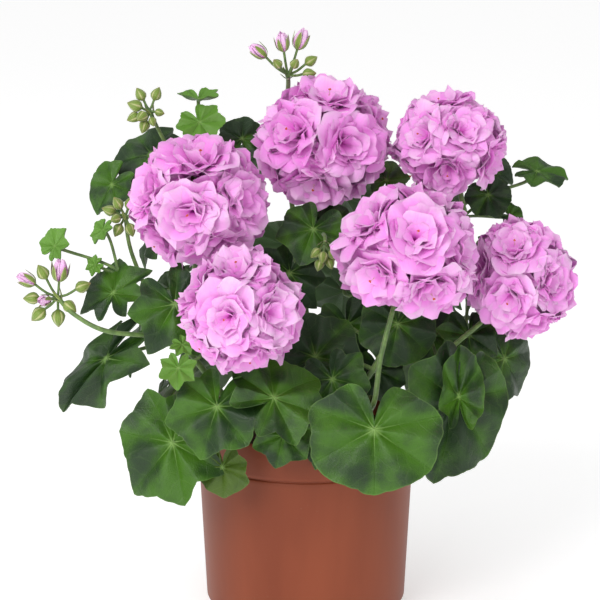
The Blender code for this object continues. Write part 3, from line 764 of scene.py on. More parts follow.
@dataclass(frozen=True)
class PotPlastic:
    """Satin terracotta-coloured plastic, with faint flow marks and a little dust."""

    light: Colour = (0.255, 0.058, 0.022)
    dark: Colour = (0.195, 0.041, 0.015)
    dust: Colour = (0.22, 0.10, 0.06)
    roughness: float = 0.38

    def material(self) -> bpy.types.Material:
        """Builds the material.

        Returns:
            The material.
        """
        surface = Surface("pot_plastic")
        place = surface.place()
        stretched = surface.node("ShaderNodeMapping", Vector=place, Scale=(1.0, 1.0, 0.25)).outputs[0]
        flow = surface.noise(stretched, 34.0, 3.0, 0.6)
        cloud = surface.noise(place, 9.0)
        colour = surface.blend(surface.fade(flow * 0.45 + cloud * 0.55, 0.35, 0.68), self.dark, self.light)
        specks = surface.fade(surface.noise(place, 900.0, 1.0), 0.70, 0.80)
        grain = surface.noise(place, 2600.0)
        lines = surface.noise(stretched, 260.0)
        return surface.finished(
            Base_Color=surface.blend(specks * 0.35, colour, self.dust),
            Roughness=cloud * 0.16 + self.roughness,
            Specular_IOR_Level=0.28,
            Normal=surface.bump(grain * 0.35 + lines * 0.65, 0.00012, 0.35),
        )


@dataclass(frozen=True)
class PottingSoil:
    """Dark crumbly potting soil, and the crumbs that lie on it."""

    dark: Colour = (0.012, 0.008, 0.005)
    light: Colour = (0.065, 0.040, 0.024)

    def material(self) -> bpy.types.Material:
        """Builds the material.

        Returns:
            The material.
        """
        surface = Surface("potting_soil")
        place = surface.place()
        crumbs = surface.noise(place, 320.0, 4.0, 0.7)
        patches = surface.noise(place, 60.0)
        return surface.finished(
            Base_Color=surface.blend(surface.fade(crumbs * patches, 0.12, 0.42), self.dark, self.light),
            Roughness=0.95,
            Specular_IOR_Level=0.2,
            Normal=surface.bump(crumbs, 0.0012, 0.9),
        )


@dataclass(frozen=True)
class LeafGreen:
    """Fleshy satin leaves: fine pale veins from a bright hub, cloudy greens, a thin pale rim."""

    dark: Colour = (0.010, 0.036, 0.006)
    bright: Colour = (0.050, 0.150, 0.004)
    young: Colour = (0.13, 0.30, 0.035)
    olive: Colour = (0.060, 0.105, 0.004)
    vein: Colour = (0.22, 0.38, 0.09)
    under: Colour = (0.09, 0.17, 0.07)
    vein_width: float = 0.011
    vein_tip: float = 0.002
    crease_width: float = 0.11
    side_veins: float = 4.5

    def vein_lines(self, surface: Surface, plane: Socket) -> tuple[Number, Number, Number]:
        """Works out how near each point of the blade is to a main vein and to a side vein.

        Args:
            surface: The material that is built.
            plane: The point's place in the plane of the leaf, over the leaf's size.

        Returns:
            The strength of the main veins, of the soft creases along them and of the side veins.
        """
        x, y, _ = surface.split(plane)
        nearest = None
        along = None
        for degrees, _ in LOBES:
            cosine, sine = math.cos(math.radians(degrees)), math.sin(math.radians(degrees))
            ahead = x * cosine + y * sine
            behind_hub = ahead.below(0.0)
            away = abs(y * cosine - x * sine) + behind_hub * 9.0
            if nearest is None:
                nearest, along = away, ahead
                continue
            along = (ahead - along) * away.below(nearest) + along
            nearest = away.at_most(nearest)
        width = (along * -self.vein_width + self.vein_width).at_least(self.vein_tip)
        main = 1 - surface.fade(nearest / width, 0.4, 2.0)
        crease = 1 - surface.fade(nearest, 0.0, self.crease_width)
        slant = along - nearest * 0.6 + surface.noise(plane, 3.0) * 0.35
        wave = surface.math("FRACT", slant * self.side_veins)
        return main, crease, 1 - surface.fade(abs(wave - 0.5), 0.01, 0.09)

    def material(self) -> bpy.types.Material:
        """Builds the material.

        Returns:
            The material.
        """
        surface = Surface("leaf_green")
        place = surface.place()
        plane = surface.node("ShaderNodeAttribute", {"attribute_name": "leaf_plane"}).outputs["Vector"]
        share, tone = surface.carried("leaf_share"), surface.carried("leaf_tone")
        main, crease, side = self.vein_lines(surface, plane)
        cloud = surface.fade(surface.noise(plane, 1.3, 2.0, 0.55), 0.3, 0.7)
        mottle = surface.noise(place, 260.0, 3.0, 0.6)
        grain = surface.noise(place, 1000.0, 3.0, 0.7)
        near_hub = 1 - surface.fade(share, 0.0, 0.8)
        brightness = cloud * 0.9 + mottle * 0.35 + grain * 0.4 + near_hub * 0.25 + crease * 0.2 + tone - 0.87
        colour = surface.blend(surface.fade(brightness, 0.0, 0.95), self.dark, self.bright)
        colour = surface.blend(surface.fade(tone, 0.8, 1.0), colour, self.young)
        faded = surface.fade(cloud * 0.5 + surface.carried("leaf_faded"), 0.5, 1.3)
        colour = surface.blend(faded * 0.8, colour, self.olive)
        hub = 1 - surface.fade(share, 0.03, 0.16)
        clearness = (share * -1.3 + 0.6).at_least(0.05)
        rim = surface.fade(share, 0.975, 0.995)
        for paleness in (hub * 0.55, main * clearness, side * 0.045, rim * 0.22):
            colour = surface.blend(paleness, colour, self.vein)
        settings = {"feature": "DISTANCE_TO_EDGE"}
        cells = surface.node("ShaderNodeTexVoronoi", settings, Vector=place, Scale=1100.0)
        pores = surface.fade(Number(surface, cells.outputs[0]), 0.0, 0.35)
        height = mottle * 0.7 + grain * 0.5 + pores * 0.25 - main * 0.7 - side * 0.22
        return surface.finished(
            Base_Color=surface.blend(surface.carried("leaf_under") * 0.75, colour, self.under),
            Roughness=mottle * 0.22 + 0.30,
            Specular_IOR_Level=0.42,
            Normal=surface.bump(height, 0.0005, 0.7),
        )


@dataclass(frozen=True)
class StemGreen:
    """Fresh green stalks and petioles, browner where a stem is old, with a fine bloom."""

    fresh: Colour = (0.16, 0.27, 0.06)
    shade: Colour = (0.07, 0.14, 0.03)
    woody: Colour = (0.13, 0.075, 0.035)

    def material(self) -> bpy.types.Material:
        """Builds the material.

        Returns:
            The material.
        """
        surface = Surface("stem_green")
        streaks = surface.noise(surface.place(), 240.0, 3.0, 0.6)
        colour = surface.blend(surface.fade(streaks, 0.3, 0.7), self.shade, self.fresh)
        aged = surface.fade(streaks * 0.5 + surface.carried("tube_age"), 0.7, 1.3)
        return surface.finished(
            Base_Color=surface.blend(aged, colour, self.woody),
            Roughness=0.5,
            Normal=surface.bump(streaks, 0.0003, 0.5),
            Sheen_Weight=0.25,
            Sheen_Roughness=0.5,
        )


@dataclass(frozen=True)
class SepalGreen:
    """Plump green bud scales with pale stripes, yellower at their foot."""

    green: Colour = (0.17, 0.27, 0.025)
    stripe: Colour = (0.55, 0.55, 0.26)
    blush: Colour = (0.30, 0.17, 0.09)

    def material(self) -> bpy.types.Material:
        """Builds the material.

        Returns:
            The material.
        """
        surface = Surface("sepal_green")
        across = surface.carried("sepal_across")
        wave = surface.math("SINE", across * 12.0)
        edge = surface.fade(abs(across), 0.55, 0.95)
        colour = surface.blend(surface.fade(wave, 0.1, 0.9) * 0.12 + edge * 0.8, self.green, self.stripe)
        mottle = surface.noise(surface.place(), 330.0)
        tip = surface.fade(surface.carried("sepal_along"), 0.75, 1.0) * surface.fade(mottle, 0.3, 0.7)
        return surface.finished(
            Base_Color=surface.blend(tip * 0.7, colour, self.blush),
            Roughness=0.45,
            Normal=surface.bump(wave + mottle, 0.0002, 0.4),
            Sheen_Weight=0.3,
        )


@dataclass(frozen=True)
class PetalPink:
    """Pink-lilac petals: deeper at their foot, partly in their own colour and partly in painted shade where
    they crowd together, with fine veins that fan out to a pale edge.
    """

    light: Colour = (0.91, 0.37, 0.82)
    pale: Colour = (0.94, 0.56, 0.88)
    # Deep pink of the petal's foot, which also stands in for painted shade where the petals crowd together.
    deep_pink_and_shade: Colour = (0.93, 0.13, 0.80)
    vein: Colour = (0.82, 0.12, 0.62)

    def material(self) -> bpy.types.Material:
        """Builds the material.

        Returns:
            The material.
        """
        surface = Surface("petal_pink")
        along, tone = surface.carried("petal_along"), surface.carried("petal_tone")
        paleness = surface.noise(surface.place(), 120.0) * 0.6 + tone - 0.3
        colour = surface.blend(surface.fade(paleness, 0.1, 0.9), self.light, self.pale)
        across = surface.carried("petal_across") * 7.0
        fan = surface.node("ShaderNodeCombineXYZ", X=across, Y=along, Z=tone).outputs[0]
        streaks = surface.noise(fan, 2.6, 3.0, 0.6)
        reach = 1 - surface.fade(along, 0.25, 0.95)
        veins = (reach * 0.8 + 0.2) * (surface.fade(streaks, 0.56, 0.66) * 0.5)
        # The foot's deeper pink is partly the petal's own colour and partly painted shade where the petals
        # crowd into the floret.
        foot = 1 - surface.fade(along, 0.05, 0.7)
        colour = surface.blend(veins, colour, self.vein)
        colour = surface.blend(foot * 0.8, colour, self.deep_pink_and_shade)
        return surface.finished(
            Base_Color=surface.blend(surface.carried("petal_under") * 0.2, colour, self.deep_pink_and_shade),
            Roughness=0.55,
            Specular_IOR_Level=0.3,
            Subsurface_Weight=0.3,
            Subsurface_Radius=(1.0, 0.4, 0.9),
            Subsurface_Scale=0.0012,
            Normal=surface.bump(streaks, 0.0003, 0.4),
            Sheen_Weight=0.2,
            Sheen_Roughness=0.4,
        )


@dataclass(frozen=True)
class PollenOrange:
    """The small orange-red anthers in the florets, on pale stalks."""

    colour: Colour = (0.62, 0.10, 0.03)
    pale: Colour = (0.90, 0.72, 0.62)

    def material(self) -> bpy.types.Material:
        """Builds the material.

        Returns:
            The material.
        """
        surface = Surface("anther_orange")
        grains = surface.noise(surface.place(), 1500.0)
        tip = surface.fade(surface.carried("anther"), 0.3, 0.6)
        return surface.finished(
            Base_Color=surface.blend(tip, self.pale, self.colour),
            Roughness=0.7,
            Normal=surface.bump(grains, 0.0002, 0.5),
        )


class Palette:
    """The materials of the whole plant, each made once."""

    def __init__(self) -> None:
        """Makes every material."""
        self.pot = PotPlastic().material()
        self.soil = PottingSoil().material()
        self.leaf = LeafGreen().material()
        self.stem = StemGreen().material()
        self.sepal = SepalGreen().material()
        self.petal = PetalPink().material()
        self.anther = PollenOrange().material()


class GeometryTree(NodeTree):
    """A Geometry Nodes tree with named inputs, whose result becomes a plain mesh."""

    def __init__(self, name: str, **inputs: tuple[str, Any]) -> None:
        """Makes the tree and its inputs.

        Args:
            name: The tree's name.
            **inputs: The kind and the usual value of each input, by its name.
        """
        tree = bpy.data.node_groups.new(name, "GeometryNodeTree")
        super().__init__(tree)
        tree.interface.new_socket("Geometry", in_out="INPUT", socket_type="NodeSocketGeometry")
        for key, (kind, usual) in inputs.items():
            socket = tree.interface.new_socket(key, in_out="INPUT", socket_type=f"NodeSocket{kind}")
            if usual is not None:
                socket.default_value = usual
        tree.interface.new_socket("Material", in_out="INPUT", socket_type="NodeSocketMaterial")
        tree.interface.new_socket("Geometry", in_out="OUTPUT", socket_type="NodeSocketGeometry")
        self.given = self.node("NodeGroupInput").outputs
        self.result = self.node("NodeGroupOutput").inputs[0]

    def made(self, kind: str, settings: dict[str, Any] | None = None, **links: Any) -> Socket:
        """Adds a node as the node method does, and gives its first output."""
        return self.node(kind, settings, **links).outputs[0]

    def carried(self, name: str, kind: str = "FLOAT") -> Socket:
        """A value that the points carry under a name."""
        return self.made("GeometryNodeInputNamedAttribute", {"data_type": kind}, Name=name)

    def copies(self, points: Socket, **links: Any) -> Socket:
        """Puts copies of the small shapes that the tree is given on points.

        Args:
            points: The points.
            **links: Further inputs of the Instance on Points node.

        Returns:
            The copies.
        """
        shapes = self.made(
            "GeometryNodeCollectionInfo",
            Collection=self.given["Shapes"],
            Separate_Children=True,
            Reset_Children=True,
        )
        return self.made(
            "GeometryNodeInstanceOnPoints", Points=points, Instance=shapes, Pick_Instance=True, **links
        )

    def end(self, geometry: Socket) -> None:
        """Realizes the copies, gives them the material that the tree is given, and ends the tree.

        Args:
            geometry: What the tree has made.
        """
        real = self.made("GeometryNodeRealizeInstances", Geometry=geometry)
        painted = self.made("GeometryNodeSetMaterial", Geometry=real, Material=self.given["Material"])
        self.tree.links.new(painted, self.result)

    def run(self, obj: bpy.types.Object, sharp_degrees: float, **values: Any) -> None:
        """Runs the tree on an object and keeps the result as its plain mesh.

        Args:
            obj: The object that carries what the tree starts from.
            sharp_degrees: Edges sharper than this stay sharp.
            **values: Values for the inputs, by name.
        """
        modifier = obj.modifiers.new(self.tree.name, "NODES")
        modifier.node_group = self.tree
        for item in self.tree.interface.items_tree:
            if item.in_out == "INPUT" and item.name in values:
                modifier[item.identifier] = values[item.name]
        keep_result(obj, sharp_degrees)


class TurnedShell(GeometryTree):
    """Turns a profile of (radius, height) points round Z into a closed shell."""

    def __init__(self) -> None:
        """Builds the tree."""
        super().__init__("turned_shell", Sides=("Int", 96))
        profile = self.given["Geometry"]
        sides = self.given["Sides"]
        size = self.node("GeometryNodeAttributeDomainSize", {"component": "MESH"}, Geometry=profile)
        rings = size.outputs["Point Count"]
        columns = self.made("FunctionNodeIntegerMath", {"operation": "ADD"}, in_0=sides, in_1=1)
        grid = self.made("GeometryNodeMeshGrid", Vertices_X=columns, Vertices_Y=rings)
        number = self.made("GeometryNodeInputIndex")
        column = self.made("FunctionNodeIntegerMath", {"operation": "DIVIDE_FLOOR"}, in_0=number, in_1=rings)
        ring = self.made("FunctionNodeIntegerMath", {"operation": "MODULO"}, in_0=number, in_1=rings)
        sample = self.node("GeometryNodeSampleIndex", {"data_type": "FLOAT_VECTOR"}, Geometry=profile)
        self.feed(sample.inputs["Value"], self.made("GeometryNodeInputPosition"))
        self.feed(sample.inputs["Index"], ring)
        radius, _, height = self.split(sample.outputs[0])
        turn = self.math("DIVIDE", column, sides) * math.tau
        x = radius * self.math("COSINE", turn)
        y = radius * self.math("SINE", turn)
        place = self.made("ShaderNodeCombineXYZ", X=x, Y=y, Z=height)
        turned = self.made("GeometryNodeSetPosition", Geometry=grid, Position=place)
        self.end(self.made("GeometryNodeMergeByDistance", Geometry=turned, Distance=1e-6))


class TubesAlong(GeometryTree):
    """Lays a round tube along every chain of edges, as thick as its points say."""

    def __init__(self) -> None:
        """Builds the tree."""
        super().__init__("tubes_along", Sides=("Int", 8))
        chain = self.made("GeometryNodeMeshToCurve", Mesh=self.given["Geometry"])
        ring = self.made("GeometryNodeCurvePrimitiveCircle", Resolution=self.given["Sides"], Radius=1.0)
        radius = self.carried("tube_radius")
        self.end(self.made(
            "GeometryNodeCurveToMesh", Curve=chain, Profile_Curve=ring, Scale=radius, Fill_Caps=True
        ))


class PlacedCopies(GeometryTree):
    """Puts a copy of a numbered shape on every point, aimed, turned and sized as the point says."""

    def __init__(self) -> None:
        """Builds the tree."""
        super().__init__(
            "placed_copies",
            Shapes=("Collection", None),
            Stretch=("Vector", (1.0, 1.0, 1.0)),
            Middle=("Vector", (0.0, 0.0, 0.0)),
        )
        rotation = self.made(
            "FunctionNodeAxesToRotation",
            {"primary_axis": "Z", "secondary_axis": "X"},
            Primary_Axis=self.carried("copy_aim", "FLOAT_VECTOR"),
            Secondary_Axis=self.carried("copy_side", "FLOAT_VECTOR"),
        )
        copies = self.copies(
            self.given["Geometry"],
            Instance_Index=self.carried("copy_pick", "INT"),
            Rotation=rotation,
            Scale=self.carried("copy_size"),
        )
        real = self.made("GeometryNodeRealizeInstances", Geometry=copies)
        self.end(self.made(
            "GeometryNodeTransform",
            Geometry=real,
            Translation=self.given["Middle"],
            Scale=self.given["Stretch"],
        ))


class StrewnCrumbs(GeometryTree):
    """Strews shapes at random over the upper faces of a surface."""

    def __init__(self) -> None:
        """Builds the tree."""
        super().__init__(
            "strewn_crumbs",
            Shapes=("Collection", None),
            Density=("Float", 1000.0),
            Smallest=("Float", 0.001),
            Largest=("Float", 0.002),
            Seed=("Int", 1),
        )
        given = self.given
        seed = given["Seed"]
        points = self.made(
            "GeometryNodeDistributePointsOnFaces", Mesh=given["Geometry"], Density=given["Density"], Seed=seed
        )
        turn = self.made(
            "FunctionNodeRandomValue",
            {"data_type": "FLOAT_VECTOR"},
            in_0=(0.0, 0.0, 0.0),
            in_1=(math.tau, math.tau, math.tau),
            Seed=seed,
        )
        size = self.node(
            "FunctionNodeRandomValue",
            {"data_type": "FLOAT"},
            in_2=given["Smallest"],
            in_3=given["Largest"],
            Seed=seed,
        )
        rotation = self.made("FunctionNodeEulerToRotation", Euler=turn)
        self.end(self.copies(points, Rotation=rotation, Scale=size.outputs[1]))


class ShapeBox:
    """A collection of small shapes that a tree copies from, outside the scene."""

    def __init__(self, name: str, shapes: list[Patchwork], sharp_degrees: float = 50.0) -> None:
        """Makes one object of each shape.

        Args:
            name: The collection's name.
            shapes: The shapes, in the order of their numbers.
            sharp_degrees: Edges sharper than this stay sharp.
        """
        self.collection = bpy.data.collections.new(name)
        for number, shape in enumerate(shapes):
            obj = shape.mesh_object(f"{name}_{number:02d}", scale=1.0, sharp_degrees=sharp_degrees)
            bpy.context.scene.collection.objects.unlink(obj)
            self.collection.objects.link(obj)

    def empty(self) -> None:
        """Removes the shapes once everything is made from them."""
        for obj in list(self.collection.objects):
            bpy.data.objects.remove(obj, do_unlink=True)
        bpy.data.collections.remove(self.collection)


def grid_faces(numbers: np.ndarray, flip: bool = False) -> list[Face]:
    """Faces of a grid of points.

    Args:
        numbers: The points' numbers, by rows and columns.
        flip: Whether the faces look the other way.

    Returns:
        The faces.
    """
    corners = [numbers[:-1, :-1], numbers[:-1, 1:], numbers[1:, 1:], numbers[1:, :-1]]
    if flip:
        corners = [corners[0], *corners[:0:-1]]
    return [tuple(face) for face in np.stack(corners, axis=2).reshape(-1, 4).tolist()]


@dataclass(frozen=True)
class PetalRing:
    """One ring of petals in a floret, with lengths over the head's radius and leans in degrees."""

    count: int
    turn: float
    length: float
    half_width: float
    lean_start: float
    lean_end: float
    foot: float
    cup: float
    ruffle: float
    columns: int = 8
    rows: int = 6


OPEN_RINGS = (
    PetalRing(6, 0.0, 0.71, 0.32, 14, 112, 0.05, 0.06, 0.070, 10, 7),
    PetalRing(6, 0.5, 0.64, 0.29, 8, 90, 0.04, 0.08, 0.070, 10, 6),
    PetalRing(6, 0.2, 0.57, 0.25, 4, 68, 0.03, 0.12, 0.060),
    PetalRing(5, 0.6, 0.49, 0.18, 0, 46, 0.02, 0.20, 0.050, 6, 6),
)
SIDE_RINGS = (
    PetalRing(5, 0.0, 0.58, 0.27, 4, 64, 0.04, 0.10, 0.075, 8, 6),
    PetalRing(4, 0.5, 0.55, 0.21, -6, 30, 0.02, 0.20, 0.060, 6, 5),
)


@dataclass
class FloretShape:
    """A double floret of rings of ruffled petals, in a ball of radius 1 with the floret along Z."""

    seed: int
    rings: tuple[PetalRing, ...] = OPEN_RINGS
    base: float = 0.42
    thickness: float = 0.010
    column_spread: float = 0.9
    turn_sway: float = 0.22
    lengths: Range = (0.86, 1.06)
    widths: Range = (0.88, 1.12)
    lean_sway: Range = (-22, 16)
    lean_steps: int = 60
    notches: tuple[float, ...] = (0.0, 0.0, 0.03, 0.07)
    notch_width: float = 0.22
    shoulder: float = 0.42
    shoulder_power: float = 2.4
    tip_wave: float = 0.03
    foot_width: float = 0.14
    full_width_at: float = 0.66
    ruffles: Range = (0.6, 1.3)
    ruffle_rates: Range = (4.0, 6.2)
    fine_ruffle: float = 0.15
    rib_depth: float = 0.015
    twist: float = 0.05
    curls: Range = (-0.05, 0.09)
    curl_from: float = 0.6
    slew: float = 0.12
    tones: Range = (0.1, 0.9)

    def petal(self, ring: PetalRing, angle: float, draw: random.Random) -> tuple[np.ndarray, np.ndarray]:
        """One petal's middle surface.

        Args:
            ring: The ring that it stands in.
            angle: Where it stands round the floret, in turns.
            draw: The source of chance.

        Returns:
            The points as rows by columns by three, and how far along the petal each one is.
        """
        # Columns are closer together towards the petal's edges, and rows towards its tip.
        across = np.sin(np.linspace(-1, 1, ring.columns + 1) * math.pi / 2 * self.column_spread)[None, :]
        across = across / math.sin(math.pi / 2 * self.column_spread)
        along = np.linspace(0, 1, ring.rows + 1)[:, None] ** ROW_SPREAD
        length = ring.length * draw.uniform(*self.lengths)
        notch = draw.choice(self.notches)
        wave = draw.uniform(0, math.tau)
        shoulder = 1 - (1 - np.abs(across) ** self.shoulder_power) ** (1 / self.shoulder_power)
        middle = hump(across, self.notch_width)
        tip = 1 - self.shoulder * shoulder - notch * middle + self.tip_wave * np.sin(across * 4.6 + wave)
        reach = along * tip
        # The middle line leans out further and further from the foot to the tip.
        steps = np.linspace(0, 1.15, self.lean_steps)
        lean_end = ring.lean_end + draw.uniform(*self.lean_sway)
        leans = np.radians(ring.lean_start + (lean_end - ring.lean_start) * steps**1.15)
        step_length = steps[1] * length
        out = np.interp(reach, steps, np.concatenate([[0], np.cumsum(np.sin(leans))[:-1]]) * step_length)
        up = np.interp(reach, steps, np.concatenate([[0], np.cumsum(np.cos(leans))[:-1]]) * step_length)
        lean = np.interp(reach, steps, leans)
        width = ring.half_width * draw.uniform(*self.widths)
        fullness = np.sin(np.clip(reach / self.full_width_at, 0, 1) * math.pi / 2) ** 1.3
        widths = width * (self.foot_width + (1 - self.foot_width) * fullness)
        # The lift is how far a point stands in front of the middle line.
        ruffle = ring.ruffle * draw.uniform(*self.ruffles)
        rate = draw.uniform(*self.ruffle_rates)
        lift = ring.cup * widths * across**2 * 2.2
        lift = lift + ruffle * reach**1.7 * np.sin(across * rate + wave * 1.7)
        lift = lift + self.fine_ruffle * ruffle * reach**2.5 * np.sin(across * rate * 2.3 + wave)
        lift = lift - self.rib_depth * reach * middle
        lift = lift + draw.uniform(-self.twist, self.twist) * across * np.sin(reach * math.pi)
        curl = draw.uniform(*self.curls)
        lift = lift + curl * np.clip((reach - self.curl_from) / (1 - self.curl_from), 0, 1) ** 2
        aside = widths * across + draw.uniform(-self.slew, self.slew) * reach**2 * length
        turn = math.tau * angle
        spoke = np.array([math.cos(turn), math.sin(turn), 0.0])
        side = np.array([-math.sin(turn), math.cos(turn), 0.0])
        points = (
            spoke * (ring.foot + out - lift * np.cos(lean))[..., None]
            + np.array(UP) * (self.base + up + lift * np.sin(lean))[..., None]
            + side * aside[..., None]
        )
        return points, reach

    def build(self) -> Patchwork:
        """Makes the floret's petals.

        Returns:
            The small shape.
        """
        draw = random.Random(self.seed)
        shape = Patchwork()
        for ring in self.rings:
            across = np.linspace(-1, 1, ring.columns + 1)
            for number in range(ring.count):
                angle = (number + ring.turn + draw.uniform(-self.turn_sway, self.turn_sway)) / ring.count
                points, reach = self.petal(ring, angle, draw)
                shape.add_blade(
                    points,
                    self.thickness,
                    under="petal_under",
                    petal_along=reach,
                    petal_across=across,
                    petal_tone=draw.uniform(*self.tones),
                )
        return shape


@dataclass
class SepalStar:
    """Five pointed green scales in a star, along Z in unit length, for a floret's foot or a bud.

    The profile gives the star's radius at heights from 0 at its foot to 1 at its tips.
    """

    profile: Profile
    length: float = 1.0
    half_width: float = 0.24
    start_radius: float = 0.08
    count: int = 5
    rows: int = 6
    columns: int = 4
    thickness: float = 0.03

    def build(self) -> Patchwork:
        """Makes the scales round the profile.

        Returns:
            The small shape.
        """
        shape = Patchwork()
        size = self.rows + 1, self.columns + 1
        along = np.linspace(0, 1, size[0])[:, None]
        across = np.linspace(-1, 1, size[1])[None, :]
        radii = np.interp(along, *zip(*self.profile))
        widths = self.half_width * np.sin(math.pi * np.clip(along * 0.86 + 0.14, 0, 1)) ** 0.8
        heights = np.broadcast_to((along - 0.5) * self.length, size)
        for number in range(self.count):
            turn = math.tau * number / self.count
            angles = turn + across * widths / np.maximum(radii, self.start_radius)
            points = np.stack([radii * np.cos(angles), radii * np.sin(angles), heights], axis=2)
            shape.add_blade(points, self.thickness, sepal_along=along, sepal_across=across)
        return shape


def spindle(profile: Profile, sides: int, ridge: float = 0.0) -> tuple[np.ndarray, list[Face]]:
    """A closed turned shape along Z, with five soft ridges if they have a height.

    Args:
        profile: Its (height, radius) points, from its foot to its tip.
        sides: Its sides.
        ridge: How far the ridges stand out, over the radius.

    Returns:
        The points and the faces.
    """
    rings = profile[1:-1]
    points = [(0.0, 0.0, profile[0][0])]
    for height, radius in rings:
        for side in range(sides):
            turn = math.tau * side / sides
            ridged = radius * (1 + ridge * math.cos(5 * turn))
            points.append((ridged * math.cos(turn), ridged * math.sin(turn), height))
    points.append((0.0, 0.0, profile[-1][0]))
    last = len(points) - 1
    top = last - sides
    faces = []
    for side in range(sides):
        after = (side + 1) % sides
        faces.append((0, 1 + after, 1 + side))
        for low in range(1, top, sides):
            high = low + sides
            faces.append((low + side, low + after, high + after, high + side))
        faces.append((top + side, top + after, last))
    return np.array(points), faces


@dataclass
class BudShapes:
    """The green scales of buds, the petals in an opening one and the bracts at a spray's foot."""

    shut_profile: Profile = (
        (0.0, 0.10), (0.10, 0.26), (0.32, 0.38), (0.6, 0.33), (0.85, 0.14), (1.0, 0.015)
    )
    core_profile: Profile = (
        (-0.5, 0), (-0.47, 0.09), (-0.38, 0.25), (-0.17, 0.355), (0.1, 0.30), (0.36, 0.10), (0.44, 0)
    )
    parted_profile: Profile = ((0.0, 0.10), (0.12, 0.27), (0.38, 0.40), (0.7, 0.42), (1.0, 0.44))
    parted_drop: float = 0.05
    bract_profile: Profile = ((0.0, 0.16), (0.3, 0.40), (0.7, 0.62), (1.0, 0.80))
    # The half width, the height and the radius of each ring of furled petals.
    bloom_rings: tuple[Point, ...] = ((0.34, 0.62, 0.34), (0.30, 0.56, 0.24), (0.22, 0.6, 0.13))
    bloom_foot: float = -0.44
    bloom_petals: int = 4
    bloom_stretches: int = 6
    bloom_thickness: float = 0.02
    bloom_seed: int = 8

    def shut(self) -> Patchwork:
        """The scales of a closed bud, round a green core.

        Returns:
            The small shape.
        """
        shape = SepalStar(self.shut_profile).build()
        shape.add(*spindle(self.core_profile, 10, 0.03), sepal_along=0.5, sepal_across=1.0)
        return shape

    def parted(self) -> Patchwork:
        """The scales of an opening bud.

        Returns:
            The small shape.
        """
        shape = SepalStar(self.parted_profile, length=0.92, half_width=0.15).build()
        shape.points = [points - np.array(UP) * self.parted_drop for points in shape.points]
        return shape

    def bracts(self) -> Patchwork:
        """The ring of small narrow bracts from which a spray's stalks spread."""
        return SepalStar(self.bract_profile, half_width=0.13, start_radius=0.2).build()

    def bloom(self) -> Patchwork:
        """The furled petals that show out of an opening bud.

        Returns:
            The small shape.
        """
        shape = Patchwork()
        draw = random.Random(self.bloom_seed)
        side = self.bloom_stretches + 1
        along = np.linspace(0, 1, side)[:, None]
        across = np.linspace(-1, 1, side)[None, :]
        for number, (width, top, radius) in enumerate(self.bloom_rings):
            for petal in range(self.bloom_petals):
                turn = math.tau * (petal + 0.5 * number + draw.uniform(-0.1, 0.1)) / self.bloom_petals
                rise = (top - self.bloom_foot) * along * (1 - 0.16 * across**2) * draw.uniform(0.92, 1.04)
                bulge = np.sin(np.clip(along * 0.80 + 0.10, 0, 1) * math.pi) ** 0.7
                radii = radius * bulge + 0.02 + 0.03 * along * np.sin(across * 4 + number)
                angles = turn + across * width * 0.85 * (0.4 + 0.6 * along) / radius * 0.62
                heights = self.bloom_foot + rise
                points = np.stack([radii * np.cos(angles), radii * np.sin(angles), heights], axis=2)
                shape.add_blade(
                    points,
                    self.bloom_thickness,
                    petal_along=0.35 + 0.65 * along,
                    petal_across=across,
                    petal_under=0.0,
                    petal_tone=draw.uniform(0.6, 1.0),
                )
        return shape


@dataclass
class AntherTuft:
    """A small tuft of anthers on their pale stalks, in a star round Z."""

    count: int = 5
    leans: Range = (0.1, 0.35)
    profile: Profile = ((-0.5, 0), (-0.49, 0.02), (0.3, 0.02), (0.36, 0.07), (0.46, 0.06), (0.5, 0))
    stalk_end: float = 0.32
    seed: int = 3

    def build(self) -> Patchwork:
        """Makes the tuft.

        Returns:
            The small shape.
        """
        shape = Patchwork()
        draw = random.Random(self.seed)
        for number in range(self.count):
            turn = math.tau * number / self.count + draw.uniform(-0.3, 0.3)
            lean = draw.uniform(*self.leans)
            axis = Vector((math.sin(lean) * math.cos(turn), math.sin(lean) * math.sin(turn), math.cos(lean)))
            tilt = UP.rotation_difference(axis)
            upright, faces = spindle(self.profile, 5)
            points = np.array([tilt @ Vector(point) for point in upright])
            shape.add(points, faces, anther=np.where(upright[:, 2] > self.stalk_end, 1.0, 0.0))
        return shape


class SmallShapes:
    """The boxes of small shapes that the plant's copies are made from."""

    def __init__(self, open_kinds: int = 6, side_kinds: int = 3, side_seed: int = 20) -> None:
        """Makes every box.

        Args:
            open_kinds: How many kinds of open florets there are.
            side_kinds: How many kinds of side florets come after them in the same box.
            side_seed: The seed of the first side floret.
        """
        self.open_kinds = open_kinds
        self.side_kinds = side_kinds
        florets = [FloretShape(seed) for seed in range(open_kinds)]
        florets += [FloretShape(side_seed + seed, SIDE_RINGS) for seed in range(side_kinds)]
        calyx = SepalStar(((0, 0.2), (0.5, 0.45), (1, 0.7)))
        buds = BudShapes()
        self.bract_number = len(BudKind)
        self.florets = ShapeBox("floret_shapes", [floret.build() for floret in florets], sharp_degrees=70)
        self.calyxes = ShapeBox("calyx_shapes", [calyx.build()])
        self.anthers = ShapeBox("anther_shapes", [AntherTuft().build()])
        self.buds = ShapeBox("bud_shapes", [buds.shut(), buds.parted(), buds.bracts()])
        self.blooms = ShapeBox("bloom_shapes", [buds.bloom()])

    def empty(self) -> None:
        """Removes the shapes once everything is made from them."""
        for box in (self.florets, self.calyxes, self.anthers, self.buds, self.blooms):
            box.empty()


class Toolbox:
    """The materials, trees and small shapes that the plant's parts share."""

    def __init__(self) -> None:
        """Makes them all."""
        self.palette = Palette()
        self.shell = TurnedShell()
        self.tubes = TubesAlong()
        self.copies = PlacedCopies()
        self.crumbs = StrewnCrumbs()
        self.shapes = SmallShapes()


